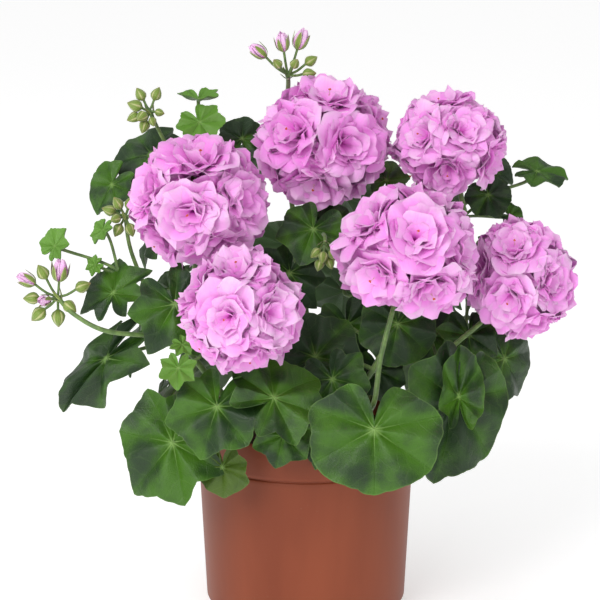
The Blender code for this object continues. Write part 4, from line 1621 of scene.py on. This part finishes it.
@dataclass
class LeafBlade:
    """The fine blade of one leaf: lobes, shallow teeth, sunken veins, folds and a wavy rim.

    Lengths are over the leaf's size, apart from the thickness and the small size in millimetres.
    """

    leaf: Leaf
    seed: str = ""
    thickness: float = 0.7
    rim_inset: float = 0.02
    rows: int = 10
    small_rows: int = 6
    small_size: float = 16.0
    teeth: int = 30
    tooth_depth: float = 0.006
    small_tooth_depth: float = 0.030
    nick_depth: float = 0.030
    nick_places: Range = (11, 19)
    nick_shares: Range = (0.1, 1.0)
    nick_width: float = 3.5
    edge_waves: tuple[Range, ...] = ((5, 0.010), (11, 0.008))
    edge_bulge: Range = (0.015, 0.055)
    base_lobe: Range = (172.0, 0.72)
    fold_rise: float = 0.18
    fold_width: float = 28.0
    vein_depth: float = 0.034
    vein_width: float = 0.040
    droop: float = 0.09
    droop_shares: Range = (-0.6, 1.0)
    droop_width: float = 24.0
    # How many waves there are round the blade, how late they rise towards its rim, and their height.
    waves: tuple[Point, ...] = ((5, 3, 0.0192), (9, 4, 0.0144), (2, 2, 0.0256))
    crinkle: float = 0.012
    own_numbers: Range = (0, 60)
    tone_sway: float = 0.08

    def axes(self) -> tuple[np.ndarray, np.ndarray, np.ndarray]:
        """The blade's normal, the direction of its middle lobe and the direction across it.

        Returns:
            The three directions, each of length 1.
        """
        compass, height = (math.radians(degrees) for degrees in self.leaf.facing)
        level_way = Vector((math.sin(compass), -math.cos(compass), 0))
        normal = level_way * math.cos(height) + UP * math.sin(height)
        level = UP.cross(normal).normalized()
        down = level.cross(normal).normalized()
        if down.z > 0:
            down.negate()
        turn = math.radians(self.leaf.roll)
        tip = down * math.cos(turn) + level * math.sin(turn)
        return np.array(normal), np.array(tip), np.array(normal.cross(tip))

    def corners(self, draw: random.Random) -> list[tuple[float, float, float]]:
        """The corners of the blade: the tip of each lobe, and the notch after it.

        Args:
            draw: The source of chance.

        Returns:
            For each corner its degrees from the middle lobe, its reach over the leaf's size, and the
            degrees that it would have on an even leaf, where the veins run.
        """
        tips = []
        for centre, length in LOBES:
            tips.append((centre + draw.uniform(-LOBE_SWAY, LOBE_SWAY), length * draw.uniform(*LOBE_LENGTHS)))
        found = []
        for index, (degrees, length) in enumerate(tips):
            after = (index + 1) % len(tips)
            after_degrees, after_length = tips[after]
            share = (NOTCH_LEAST + NOTCH_MORE * self.leaf.fullness) * draw.uniform(*NOTCH_LENGTHS)
            if index == DEEP_NOTCH_LOBE:
                share = DEEP_NOTCH
            even = LOBES[index][0]
            found.append((degrees, length, even))
            found.append((
                degrees + (after_degrees - degrees) % 360 / 2,
                share * (length + after_length) / 2,
                even + (LOBES[after][0] - even) % 360 / 2,
            ))
        return found

    def outline(self, steps: int, draw: random.Random) -> tuple[np.ndarray, np.ndarray, np.ndarray]:
        """The blade's edge: a bulging curve between each two corners, which stay sharp.

        Args:
            steps: How many points there are from one corner to the next.
            draw: The source of chance.

        Returns:
            The points' degrees, their reach, and the degrees that they would have on an even leaf.
        """
        corners = self.corners(draw)
        base_turn, base_reach = self.base_lobe
        base_sides = {2 * DEEP_NOTCH_LOBE: 1, 2 * DEEP_NOTCH_LOBE + 1: -1}
        t = np.arange(steps) / steps
        degrees, reaches, evens = [], [], []
        for index, (start_turn, start_reach, start_even) in enumerate(corners):
            end_turn, end_reach, end_even = corners[(index + 1) % len(corners)]
            start = start_reach * np.exp(1j * math.radians(start_turn))
            end = end_reach * np.exp(1j * math.radians(end_turn))
            middle = (start + end) / 2 * (1 + 2 * draw.uniform(*self.edge_bulge))
            if index in base_sides:
                middle = base_reach * np.exp(1j * base_sides[index] * math.radians(base_turn))
            curve = (1 - t) ** 2 * start + 2 * t * (1 - t) * middle + t**2 * end
            turned = np.degrees(np.angle(curve * np.exp(-1j * math.radians(start_turn))))
            gap = (end_turn - start_turn) % 360
            degrees.append(start_turn + turned)
            reaches.append(np.abs(curve))
            evens.append(start_even + turned / gap * ((end_even - start_even) % 360))
        return np.concatenate(degrees), np.concatenate(reaches), np.concatenate(evens)

    def toothing(self, degrees: np.ndarray, small: bool, draw: random.Random) -> np.ndarray:
        """How far the fine edge departs from the plain one: nicks and shallow teeth.

        Args:
            degrees: The directions, from the middle lobe.
            small: Whether the leaf is a small one.
            draw: The source of chance.

        Returns:
            The change of the reach in each direction, over the reach.
        """
        depth = self.small_tooth_depth if small else self.tooth_depth
        change = depth * (1.4 * np.abs(np.sin(np.radians(degrees) * self.teeth / 2)) ** 0.6 - 1.0)
        for centre, _ in LOBES:
            for side in (-1, 1):
                gaps = degrees_from(degrees, centre + side * draw.uniform(*self.nick_places))
                depth = self.nick_depth * draw.uniform(*self.nick_shares)
                change = change - depth * hump(gaps, self.nick_width)
        for rate, size in self.edge_waves:
            change = change + size * np.sin(rate * np.radians(degrees) + draw.uniform(0, math.tau))
        return change

    def rise(self, shares: np.ndarray, reach: np.ndarray, turn: np.ndarray, evens: np.ndarray,
             draw: random.Random) -> np.ndarray:
        """How far each point stands up from the leaf's plane: cup, bend, folds, droops, veins and waves.

        Args:
            shares: How far out each row of points is, from the hub at 0 to the rim at 1.
            reach: How far each point is from the hub.
            turn: The direction of each column of points.
            evens: The degrees of each column on an even leaf.
            draw: The source of chance.

        Returns:
            The rise of each point.
        """
        from_lobes = [degrees_from(evens, centre) for centre, _ in LOBES]
        nearest = np.min(from_lobes, axis=0)[None, :]
        along = np.maximum(reach * np.cos(turn), 0)
        fold = self.fold_rise * reach * (1 - np.cos(math.pi * np.minimum(nearest / self.fold_width, 1))) / 2
        rise = self.leaf.cup * reach**2 - self.leaf.bend * along**2 + fold
        for away in from_lobes:
            fall = self.droop * draw.uniform(*self.droop_shares)
            rise = rise - fall * shares**2 * reach * hump(away, self.droop_width)[None, :]
        from_vein = reach * np.sin(np.radians(np.minimum(nearest, 90)))
        rise = rise - self.vein_depth * hump(from_vein, self.vein_width) * (1 - 0.6 * shares)
        for count, lateness, height in self.waves:
            rise = rise + height * shares**lateness * np.sin(count * turn + draw.uniform(0, math.tau))
        wrinkles = np.sin(reach * 21 + draw.uniform(0, math.tau)) * np.sin(turn * 14)
        return rise + self.crinkle * shares * wrinkles

    def add_to(self, shape: Patchwork) -> None:
        """Adds the blade to a stem's leaves.

        Args:
            shape: The patchwork of all the stem's leaves.
        """
        leaf = self.leaf
        draw = random.Random(self.seed)
        small = leaf.size < self.small_size
        rows = self.small_rows if small else self.rows
        degrees, edge, evens = self.outline(rows, draw)
        shares = (np.arange(1, rows + 1) / rows)[:, None] ** ROW_SPREAD
        toothed = edge * (1 + self.toothing(degrees, small, draw))
        reach = shares * (edge + (toothed - edge) * shares**5)
        turn = np.radians(degrees)[None, :]
        rise = self.rise(shares, reach, turn, evens, draw)
        normal, tip, across = self.axes()
        hub = np.array(leaf.hub, float)
        x = (reach * np.cos(turn))[..., None]
        y = (reach * np.sin(turn) * leaf.width)[..., None]
        upper = hub + leaf.size * (tip * x + across * y + normal * rise[..., None])
        inset = 1 - self.rim_inset * shares[..., None] ** 8
        lower = hub + (upper - hub) * inset - normal * self.thickness
        upper_points = np.concatenate([hub[None, :], upper.reshape(-1, 3)])
        lower_points = np.concatenate([lower.reshape(-1, 3), (hub - normal * self.thickness)[None, :]])

        own_number = draw.uniform(*self.own_numbers)
        vein_turn = np.radians(evens)[None, :]
        plane = np.stack([reach * np.cos(vein_turn), reach * np.sin(vein_turn)], axis=2).reshape(-1, 2)
        plane = np.concatenate([np.zeros((1, 2)), plane])
        plane = np.concatenate([plane, plane[1:], plane[:1]])
        share = np.broadcast_to(shares, reach.shape).reshape(-1)
        tone, faded = leaf.age.value
        shape.add(
            np.concatenate([upper_points, lower_points]),
            self.sheet_faces(rows, len(degrees)),
            leaf_plane=np.column_stack([plane, np.full(len(plane), own_number)]),
            leaf_share=np.concatenate([[0.0], share, share, [0.0]]),
            leaf_under=np.concatenate([np.zeros(len(upper_points)), np.ones(len(lower_points))]),
            leaf_tone=tone + draw.uniform(-self.tone_sway, self.tone_sway),
            leaf_faded=faded,
        )

    @staticmethod
    def sheet_faces(rows: int, columns: int) -> list[Face]:
        """Faces of a blade: a hub with rings of points above, the same rings below, and a hub below.

        Args:
            rows: How many rings there are.
            columns: How many points a ring has.

        Returns:
            The faces.
        """
        count = rows * columns
        last = 2 * count + 1
        faces = []
        for column in range(columns):
            after = (column + 1) % columns
            faces.append((0, 1 + column, 1 + after))
            faces.append((last, 1 + count + after, 1 + count + column))
            for row in range(rows - 1):
                low = 1 + row * columns
                high = low + columns
                faces.append((low + column, high + column, high + after, low + after))
                low += count
                high += count
                faces.append((low + after, high + after, high + column, low + column))
            rim = 1 + (rows - 1) * columns
            faces.append((rim + column, rim + count + column, rim + count + after, rim + after))
        return faces


def petiole_path(start: Vector, end: Vector, normal: Vector, steps: int) -> list[Vector]:
    """Points of a petiole, from the stem up to the blade that it meets from behind.

    Args:
        start: The point inside the stem.
        end: The hub's underside.
        normal: The blade's normal.
        steps: How many stretches the path is cut into.

    Returns:
        The points.
    """
    length = (end - start).length
    first = start + Vector((end.x - start.x, end.y - start.y, 0)) * 0.25 + UP * (0.22 * length)
    second = end - normal * min(0.3 * length, 12)
    path = []
    for step in range(steps + 1):
        t = step / steps
        u = 1 - t
        path.append(start * u**3 + first * (3 * t * u**2) + second * (3 * t * t * u) + end * t**3)
    return path


def add_tube(
    shape: Patchwork, path: list[Vector], radii: list[float], age: list[float] | float = 0.0
) -> None:
    """Adds a path that a round tube is laid along.

    Args:
        shape: The patchwork of paths.
        path: The path's points.
        radii: The tube's radius at each point.
        age: How woody the tube is, for the whole path or for each point.
    """
    shape.add_line(np.array(path), tube_radius=np.array(radii) * MM, tube_age=age)


@dataclass
class LeafyStem:
    """One stem with its petioles, leaves, flower stalks and buds."""

    stem: Stem
    tools: Toolbox
    bract_size: float = 6.0
    petiole_radius: float = 1.05
    petiole_steps: int = 14
    petiole_inset: float = 0.45
    bud_stalk_radius: float = 0.72
    bud_stalk_steps: int = 6
    stem_steps: int = 40
    stalk_steps: int = 8
    tube_sides: int = 8
    stem_taper: float = 0.6
    knot_width: float = 0.018
    knot_swell: float = 0.22
    knot_most: float = 1.2
    stalk_taper: float = 0.85
    stalk_end_swell: Point = (1.05, 1.25, 1.2)
    woody_below: float = 95.0
    green_above: float = 140.0

    def build(self) -> None:
        """Builds the leaves, the green tubes and the buds."""
        self.build_leaves()
        self.build_tubes()
        self.build_buds()

    def build_leaves(self) -> None:
        """Builds all blades of the stem in one piece."""
        shape = Patchwork()
        for index, leaf in enumerate(self.stem.leaves):
            LeafBlade(leaf, f"{self.stem.name} {index}").add_to(shape)
        obj = shape.mesh_object(f"{self.stem.name}_leaves")
        finish_piece(obj, "foliage", self.tools.palette.leaf, self.stem.name)

    def stalk_points(self, stalk: Stalk) -> list[Vector]:
        """The points that a flower stalk passes, from inside its stem.

        Args:
            stalk: The stalk.

        Returns:
            The points, the last of them inside the head that it carries.
        """
        points = [spline_point(self.stem.points, stalk.along)] + [Vector(point) for point in stalk.points]
        if stalk.head:
            points.append(FlowerHead(stalk.head, points[-1], self.tools).umbel())
        return points

    def build_tubes(self) -> None:
        """Builds stem, petioles, flower stalks and the buds' own stalks in one piece."""
        shape = Patchwork()
        self.add_main_stem(shape)
        for leaf in self.stem.leaves:
            self.add_petiole(shape, leaf)
        for stalk in self.stem.stalks:
            self.add_stalk(shape, stalk)
        obj = shape.mesh_object(f"{self.stem.name}_stalks")
        material = self.tools.palette.stem
        self.tools.tubes.run(obj, sharp_degrees=60, Sides=self.tube_sides, Material=material)
        finish_piece(obj, "foliage", material, self.stem.name)

    def add_main_stem(self, shape: Patchwork) -> None:
        """Adds the stem, with a knot at each leaf and wood towards its foot.

        Args:
            shape: The patchwork of the stem's paths.
        """
        path = smooth_path(self.stem.points, self.stem_steps)
        radii = []
        for number in range(self.stem_steps + 1):
            share = number / self.stem_steps
            gaps = [(share - leaf.along) / self.knot_width for leaf in self.stem.leaves]
            knots = sum(math.exp(-(gap**2)) for gap in gaps)
            taper = 1 - (1 - self.stem_taper) * share
            radii.append(self.stem.radius * taper * (1 + self.knot_swell * min(knots, self.knot_most)))
        greening = self.green_above - self.woody_below
        ages = [max(0.0, 1.0 - (point.z - self.woody_below) / greening) for point in path]
        add_tube(shape, path, radii, ages)

    def add_petiole(self, shape: Patchwork, leaf: Leaf) -> None:
        """Adds a leaf's petiole, which swells towards both of its ends.

        Args:
            shape: The patchwork of the stem's paths.
            leaf: The leaf.
        """
        normal = Vector(LeafBlade(leaf).axes()[0])
        start = spline_point(self.stem.points, leaf.along)
        steps = self.petiole_steps
        path = petiole_path(start, Vector(leaf.hub) - normal * self.petiole_inset, normal, steps)
        thick = self.petiole_radius * (0.75 + 0.25 * min(leaf.size / 30, 1.2))
        shares = [number / steps for number in range(steps + 1)]
        add_tube(shape, path, [thick * (1 + 0.35 * share**8 + 0.5 * (1 - share) ** 10) for share in shares])

    def add_stalk(self, shape: Patchwork, stalk: Stalk) -> None:
        """Adds a flower stalk, which swells at its end, and the thin stalks of its buds.

        Args:
            shape: The patchwork of the stem's paths.
            stalk: The stalk.
        """
        points = self.stalk_points(stalk)
        path = smooth_path(points, self.stalk_steps * (len(points) - 1))
        taper = (1 - self.stalk_taper) / (len(path) - 1)
        radii = [stalk.radius * (1 - taper * number) for number in range(len(path))]
        radii[-3:] = [radius * swell for radius, swell in zip(radii[-3:], self.stalk_end_swell)]
        add_tube(shape, path, radii)
        node = points[-1]
        for bud in stalk.buds:
            offset = Vector(bud.offset)
            foot = node + offset - offset.normalized() * bud.length * 0.45
            middle = (node + foot) / 2 - UP * (0.06 * offset.length)
            steps = self.bud_stalk_steps
            add_tube(shape, smooth_path([node, middle, foot], steps), [self.bud_stalk_radius] * (steps + 1))

    def build_buds(self) -> None:
        """Builds the buds' green scales, and the petals that show in the opening ones."""
        palette, shapes = self.tools.palette, self.tools.shapes
        green, pink = Patchwork(), Patchwork()
        for index, stalk in enumerate(self.stem.stalks):
            if not stalk.buds:
                continue
            draw = random.Random(f"{self.stem.name} buds {index}")
            node = self.stalk_points(stalk)[-1]
            way = (node - Vector(stalk.points[-2])).normalized()
            side = way.orthogonal().normalized()
            green.add_copy(node, way, side, self.bract_size * MM, shapes.bract_number)
            for bud in stalk.buds:
                axis = Vector(bud.offset).normalized()
                side = Quaternion(axis, draw.uniform(0, math.tau)) @ axis.orthogonal().normalized()
                middle = node + Vector(bud.offset)
                green.add_copy(middle, axis, side, bud.length * MM, bud.kind.value)
                if bud.kind is BudKind.OPENING:
                    pink.add_copy(middle, axis, side, bud.length * MM)
        for shape, box, name, slot, material in (
            (green, shapes.buds, "buds", "foliage", palette.sepal),
            (pink, shapes.blooms, "opening", "petals", palette.petal),
        ):
            if shape.count:
                obj = shape.mesh_object(f"{self.stem.name}_{name}")
                self.tools.copies.run(obj, sharp_degrees=50, Shapes=box.collection, Material=material)
                finish_piece(obj, slot, material)


def ball_cells() -> tuple[list[Vector], list[Vector]]:
    """The twelve even cells of a ball.

    Returns:
        Each cell's direction, and the directions of the twenty corners.
    """
    golden = (1 + math.sqrt(5)) / 2
    middles = []
    for first in (-1, 1):
        for second in (-golden, golden):
            middles += [Vector((0, first, second)), Vector((first, second, 0)), Vector((second, 0, first))]
    corners = []
    for x in (-1, 1):
        for y in (-1, 1):
            corners += [Vector((x, y, -1)), Vector((x, y, 1))]
            corners += [
                Vector((0, y * golden, x / golden)),
                Vector((x / golden, 0, y * golden)),
                Vector((y * golden, x / golden, 0)),
            ]
    return [way.normalized() for way in middles], [way.normalized() for way in corners]


@dataclass
class FlowerHead:
    """A ball of double florets, each on its own thin stalk from the top of the flower stalk.

    Lengths are over the head's radius, apart from the thin stalks' radius in millimetres.
    """

    head: Head
    stalk_end: Vector
    tools: Toolbox
    umbel_share: float = 0.3
    jitter: float = 0.08
    floret_foot: float = 0.44
    floret_sizes: Range = (0.9588, 1.0608)
    side_sizes: Range = (0.8556, 0.9858)
    from_stalk: float = 0.55
    calyx_place: float = 0.47
    calyx_size: float = 0.22
    anther_place: float = 0.88
    anther_size: float = 0.13
    pedicel_radius: float = 0.6
    pedicel_steps: int = 8
    pedicel_sides: int = 6
    pedicel_end_swell: float = 1.6

    def umbel(self) -> Vector:
        """The point inside the head where its florets' stalks meet."""
        return self.stalk_end + (Vector(self.head.middle) - self.stalk_end) * self.umbel_share

    def directions(self) -> tuple[list[Vector], list[Vector]]:
        """The directions of the florets from the head's middle.

        Returns:
            Those of the open florets, and those between them, where side florets fill the head.
        """
        middles, corners = ball_cells()
        down = -(Vector(self.head.middle) - self.stalk_end).normalized()
        turn = Quaternion(down, math.radians(self.head.spin)) @ middles[0].rotation_difference(down)
        open_ways = [turn @ middle for middle in middles[1:]]
        side_ways = [turn @ corner for corner in corners]
        return open_ways, [way for way in side_ways if way.dot(down) < self.from_stalk]

    def aimed(self, axis: Vector, draw: random.Random) -> tuple[Vector, Vector]:
        """A floret's direction near an axis and its side, both by chance.

        Args:
            axis: The even direction.
            draw: The source of chance.

        Returns:
            The direction and the side.
        """
        wobble = Vector([draw.uniform(-self.jitter, self.jitter) for _ in range(3)])
        aim = (axis + wobble).normalized()
        return aim, Quaternion(aim, draw.uniform(0, math.tau)) @ aim.orthogonal().normalized()

    def build(self) -> None:
        """Builds the head's petals, its green stalks and scales, and its anthers."""
        head, palette, shapes = self.head, self.tools.palette, self.tools.shapes
        draw = random.Random(head.name)
        florets, calyxes, anthers = Patchwork(), Patchwork(), Patchwork()
        centre = Vector((0, 0, 0))
        open_ways, side_ways = self.directions()
        for number, axis in enumerate(open_ways):
            aim, side = self.aimed(axis, draw)
            size = draw.uniform(*self.floret_sizes)
            florets.add_copy(centre, aim, side, size, draw.randrange(shapes.open_kinds))
            calyxes.add_copy(aim * self.calyx_place, aim, side, self.calyx_size)
            # Two florets out of three show their anthers.
            if number % 3 != 1:
                anthers.add_copy(aim * self.anther_place, aim, side, self.anther_size)
        for axis in side_ways:
            aim, side = self.aimed(axis, draw)
            size = draw.uniform(*self.side_sizes)
            florets.add_copy(centre, aim, side, size, shapes.open_kinds + draw.randrange(shapes.side_kinds))
        for shape, box, name, slot, material, nodes in (
            (florets, shapes.florets, "petals", "petals", palette.petal, (head.name,)),
            (calyxes, shapes.calyxes, "sepals", "foliage", palette.sepal, ()),
            (anthers, shapes.anthers, "anthers", "petals", palette.anther, ()),
        ):
            obj = shape.mesh_object(f"{head.name}_{name}", scale=1.0)
            sizes = {"Stretch": Vector(head.radii) * MM, "Middle": Vector(head.middle) * MM}
            self.tools.copies.run(obj, sharp_degrees=70, Shapes=box.collection, Material=material, **sizes)
            finish_piece(obj, slot, material, *nodes)
        self.build_pedicels(open_ways)

    def build_pedicels(self, ways: list[Vector]) -> None:
        """Builds the open florets' thin stalks, which spread from the top of the flower stalk.

        Args:
            ways: The florets' directions from the head's middle.
        """
        middle = Vector(self.head.middle)
        umbel = self.umbel()
        shape = Patchwork()
        radii = [self.pedicel_radius] * self.pedicel_steps + [self.pedicel_radius * self.pedicel_end_swell]
        for way in ways:
            offset = Vector([part * radius for part, radius in zip(way, self.head.radii)])
            foot = middle + offset * self.floret_foot
            bend = (umbel + foot) / 2 + (middle - umbel) * 0.12
            add_tube(shape, smooth_path([umbel, bend, foot], self.pedicel_steps), radii)
        obj = shape.mesh_object(f"{self.head.name}_pedicels")
        material = self.tools.palette.stem
        self.tools.tubes.run(obj, sharp_degrees=60, Sides=self.pedicel_sides, Material=material)
        finish_piece(obj, "foliage", material)


@dataclass
class Pot:
    """The growers' pot: foot, plain wall, step, rim band, rounded lip, floor with drainage holes."""

    tools: Toolbox
    height: float = 112.0
    wall: float = 1.6
    floor: float = 2.0
    foot_radius: float = 55.0
    foot_height: float = 6.0
    body_low: float = 57.4
    body_top: float = 61.4
    step_height: float = 91.0
    rim_low: float = 62.0
    rim_top: float = 64.0
    inner_low: float = 53.0
    sides: int = 144
    drain_count: int = 6
    drain_radius: float = 5.0
    drain_circle: float = 34.0
    drain_sides: int = 24

    def profile(self) -> Profile:
        """The pot's section, up the outside and down the inside.

        Returns:
            Its points as (radius, height).
        """
        foot, foot_top, step, height = self.foot_radius, self.foot_height, self.step_height, self.height
        body_low, body_top, rim_low, rim_top = self.body_low, self.body_top, self.rim_low, self.rim_top
        rim_inner = rim_top - self.wall
        inner_top = body_top - 0.8 - self.wall
        return (
            (0.0, 0.0), (foot - 6.0, 0.0), (foot - 0.6, 0.0), (foot, 0.5),
            (foot + 0.9, foot_top - 1.4), (foot + 1.2, foot_top - 0.8),
            (body_low - 0.3, foot_top - 0.5), (body_low, foot_top),
            (body_low + 0.1, foot_top + 2.0), (body_top - 0.1, step - 3.0), (body_top, step - 0.9),
            (body_top - 0.15, step - 0.55), (body_top - 0.8, step - 0.2),
            (body_top - 0.8, step + 0.5), (rim_low - 0.4, step + 0.9), (rim_low, step + 1.4),
            (rim_low + 0.15, step + 3.0), (rim_top - 0.1, height - 2.0), (rim_top, height - 1.0),
            (rim_top - 0.25, height - 0.3), (rim_top - 0.8, height), (rim_top - 1.3, height - 0.25),
            (rim_inner, height - 0.8), (rim_inner - 0.3, height - 3.0),
            (inner_top + 0.1, step + 2.0), (inner_top, step), (inner_top - 0.2, step - 4.0),
            (self.inner_low + 0.3, self.floor + 3.0), (self.inner_low - 0.3, self.floor + 0.6),
            (self.inner_low - 1.5, self.floor), (0.0, self.floor),
        )

    def build(self) -> None:
        """Turns the pot and drills its drainage holes."""
        shape = Patchwork()
        shape.add_line(np.array([(radius, 0.0, height) for radius, height in self.profile()]))
        obj = shape.mesh_object("pot_shell")
        material = self.tools.palette.pot
        self.tools.shell.run(obj, sharp_degrees=40, Sides=self.sides, Material=material)
        drills = Patchwork()
        for middle in ring_points(self.drain_count, self.drain_circle):
            self.add_drill(drills, middle)
        drill = drills.mesh_object("drain_drill")
        modifier = obj.modifiers.new("drains", "BOOLEAN")
        modifier.operation = "DIFFERENCE"
        modifier.solver = "EXACT"
        modifier.object = drill
        keep_result(obj, sharp_degrees=40)
        bpy.data.objects.remove(drill, do_unlink=True)
        finish_piece(obj, "pot_plastic", material, "pot")

    def add_drill(self, shape: Patchwork, middle: np.ndarray) -> None:
        """Adds one upright cylinder for a drainage hole.

        Args:
            shape: The patchwork of drills.
            middle: The hole's middle on the floor.
        """
        sides = self.drain_sides
        ring = middle + ring_points(sides, self.drain_radius)
        low = ring + np.array([0, 0, -2.0])
        high = ring + np.array([0, 0, self.floor + 2.0])
        faces = [tuple(reversed(range(sides))), tuple(range(sides, 2 * sides))]
        for side in range(sides):
            after = (side + 1) % sides
            faces.append((side, after, sides + after, sides + side))
        shape.add(np.concatenate([low, high]), faces)


@dataclass
class SoilBed:
    """The soil that fills the pot, with a crumbly top."""

    tools: Toolbox
    bottom: float = 2.3
    bank: float = 91.0
    top: float = 100.6
    crown: float = 1.6
    low_radius: float = 52.7
    top_radius: float = 58.7
    bumpy_radius: float = 58.0
    bump_height: float = 0.9
    sides: int = 96
    rings: int = 22
    crumb_radius: float = 56.5
    crumb_sides: int = 48
    crumb_kinds: int = 4
    crumb_profile: Profile = ((-0.5, 0), (-0.3, 0.4), (0.2, 0.42), (0.5, 0))
    crumb_density: float = 190000.0
    crumb_sizes: Range = (0.0008, 0.0034)
    lump_seed: int = 5
    strewn_seed: int = 11

    def build(self) -> None:
        """Builds the body of soil and the crumbs on it."""
        profile = [(0.0, self.bottom), (self.low_radius, self.bottom), (self.top_radius, self.bank)]
        for number in range(self.rings):
            share = 1 - number / (self.rings - 1)
            profile.append((self.top_radius * share, self.top - self.crown * share**2))
        shape = Patchwork()
        shape.add_line(np.array([(radius, 0.0, height) for radius, height in profile]))
        obj = shape.mesh_object("soil_bed")
        material = self.tools.palette.soil
        self.tools.shell.run(obj, sharp_degrees=60, Sides=self.sides, Material=material)
        for vertex in obj.data.vertices:
            x, y, z = vertex.co / MM
            if z > self.top - self.crown - 0.5 and math.hypot(x, y) < self.bumpy_radius:
                bump = math.sin(x * 0.9 + 2 * math.sin(y * 0.31)) * math.cos(y * 0.8 + math.sin(x * 0.43))
                vertex.co.z += (bump * self.bump_height - 0.3) * MM
        finish_piece(obj, "soil", material, "soil")
        self.build_crumbs()

    def crumb_shapes(self) -> list[Patchwork]:
        """A few kinds of small lumps, each pressed and dented by chance.

        Returns:
            The lumps.
        """
        draw = random.Random(self.lump_seed)
        shapes = []
        for _ in range(self.crumb_kinds):
            points, faces = spindle(self.crumb_profile, 5)
            points = points * np.array([[draw.uniform(0.7, 1.3) for _ in range(3)]])
            points = points + np.array([[draw.uniform(-0.1, 0.1) for _ in range(3)] for _ in points])
            shape = Patchwork()
            shape.add(points, faces)
            shapes.append(shape)
        return shapes

    def build_crumbs(self) -> None:
        """Strews crumbs over the top of the soil."""
        box = ShapeBox("crumb_shapes", self.crumb_shapes())
        sides = self.crumb_sides
        edge = ring_points(sides, self.crumb_radius) + np.array([0, 0, self.top - self.crown + 0.1])
        disc = np.concatenate([[[0.0, 0.0, self.top - 0.4]], edge])
        shape = Patchwork()
        shape.add(disc, [(0, 1 + side, 1 + (side + 1) % sides) for side in range(sides)])
        obj = shape.mesh_object("soil_crumbs")
        smallest, largest = self.crumb_sizes
        material = self.tools.palette.soil
        self.tools.crumbs.run(
            obj,
            sharp_degrees=30,
            Shapes=box.collection,
            Density=self.crumb_density,
            Smallest=smallest,
            Largest=largest,
            Seed=self.strewn_seed,
            Material=material,
        )
        box.empty()
        finish_piece(obj, "soil", material)


@dataclass(frozen=True)
class Panel:
    """A square light panel: its name, its place and its side in metres, and its power in watts."""

    name: str
    place: Point
    side: float
    power: float


@dataclass
class Studio:
    """A pale floor, soft light and the camera at the photograph's place."""

    target: Point = (-0.0033, 0.0, 0.179)
    distance: float = 1.052
    pitch: float = 13.0
    lens: float = 112.0
    sensor: float = 36.0
    floor_reach: float = 30.0
    floor_glow: float = 0.45
    sky_middle: float = 0.42
    sky_slope: float = 0.25
    sky_least: float = 0.28
    sky_most: float = 0.6
    panels: tuple[Panel, ...] = (
        Panel("key_panel", (-1.0, -1.6, 1.4), 1.2, 27.0),
        Panel("fill_panel", (0.8, -2.1, 0.5), 1.2, 5.0),
    )

    def build(self) -> None:
        """Builds the floor, the surround, the lights and the camera."""
        self.build_floor()
        self.build_surround()
        for panel in self.panels:
            self.build_panel(panel)
        self.build_camera()

    def build_floor(self) -> None:
        """Lays a wide pale floor."""
        shape = Patchwork()
        corners = np.array([(-1, -1, 0), (1, -1, 0), (1, 1, 0), (-1, 1, 0)]) * self.floor_reach
        shape.add(corners, [(0, 1, 2, 3)])
        floor = shape.mesh_object("studio_floor", scale=1.0)
        floor.data.materials.append(Surface("studio_white").finished(
            Base_Color=(0.9, 0.9, 0.9),
            Roughness=0.8,
            Specular_IOR_Level=0.1,
            Emission_Color=(1.0, 1.0, 1.0),
            Emission_Strength=self.floor_glow,
        ))

    def build_surround(self) -> None:
        """Surrounds the plant with white light that is brighter from above."""
        world = bpy.data.worlds.new("studio_world")
        world.use_nodes = True
        tree = NodeTree(world.node_tree)
        background = world.node_tree.nodes["Background"]
        background.inputs["Color"].default_value = (1.0, 1.0, 1.0, 1.0)
        height = tree.split(tree.node("ShaderNodeTexCoord").outputs["Generated"])[2]
        glow = height * self.sky_slope + self.sky_middle
        tree.feed(background.inputs["Strength"], glow.at_least(self.sky_least).at_most(self.sky_most))
        bpy.context.scene.world = world

    def build_panel(self, panel: Panel) -> None:
        """Hangs a soft light panel that faces the plant.

        Args:
            panel: The panel.
        """
        light = bpy.data.lights.new(panel.name, "AREA")
        light.size = panel.side
        light.energy = panel.power
        obj = bpy.data.objects.new(panel.name, light)
        obj.location = panel.place
        aim = Vector(self.target) - Vector(panel.place)
        obj.rotation_euler = aim.to_track_quat("-Z", "Y").to_euler()
        bpy.context.scene.collection.objects.link(obj)

    def build_camera(self) -> None:
        """Places the camera where the photograph was taken from."""
        camera = bpy.data.cameras.new("photo_camera")
        camera.lens = self.lens
        camera.sensor_width = self.sensor
        pitch = math.radians(self.pitch)
        back = Vector((0.0, -math.cos(pitch), math.sin(pitch)))
        obj = bpy.data.objects.new("photo_camera", camera)
        obj.location = Vector(self.target) + back * self.distance
        obj.rotation_euler = (-back).to_track_quat("-Z", "Y").to_euler()
        scene = bpy.context.scene
        scene.collection.objects.link(obj)
        scene.camera = obj
        scene.view_settings.view_transform = "Standard"


def main() -> None:
    """Builds the plant part by part, and the studio."""
    logging.basicConfig(level=logging.INFO, format="%(message)s")
    tools = Toolbox()
    Pot(tools).build()
    SoilBed(tools).build()
    for stem in STEMS:
        LeafyStem(stem, tools).build()
        for stalk in stem.stalks:
            if stalk.head:
                FlowerHead(stalk.head, Vector(stalk.points[-1]), tools).build()
    tools.shapes.empty()
    Studio().build()
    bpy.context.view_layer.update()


if __name__ == "__main__":
    main()
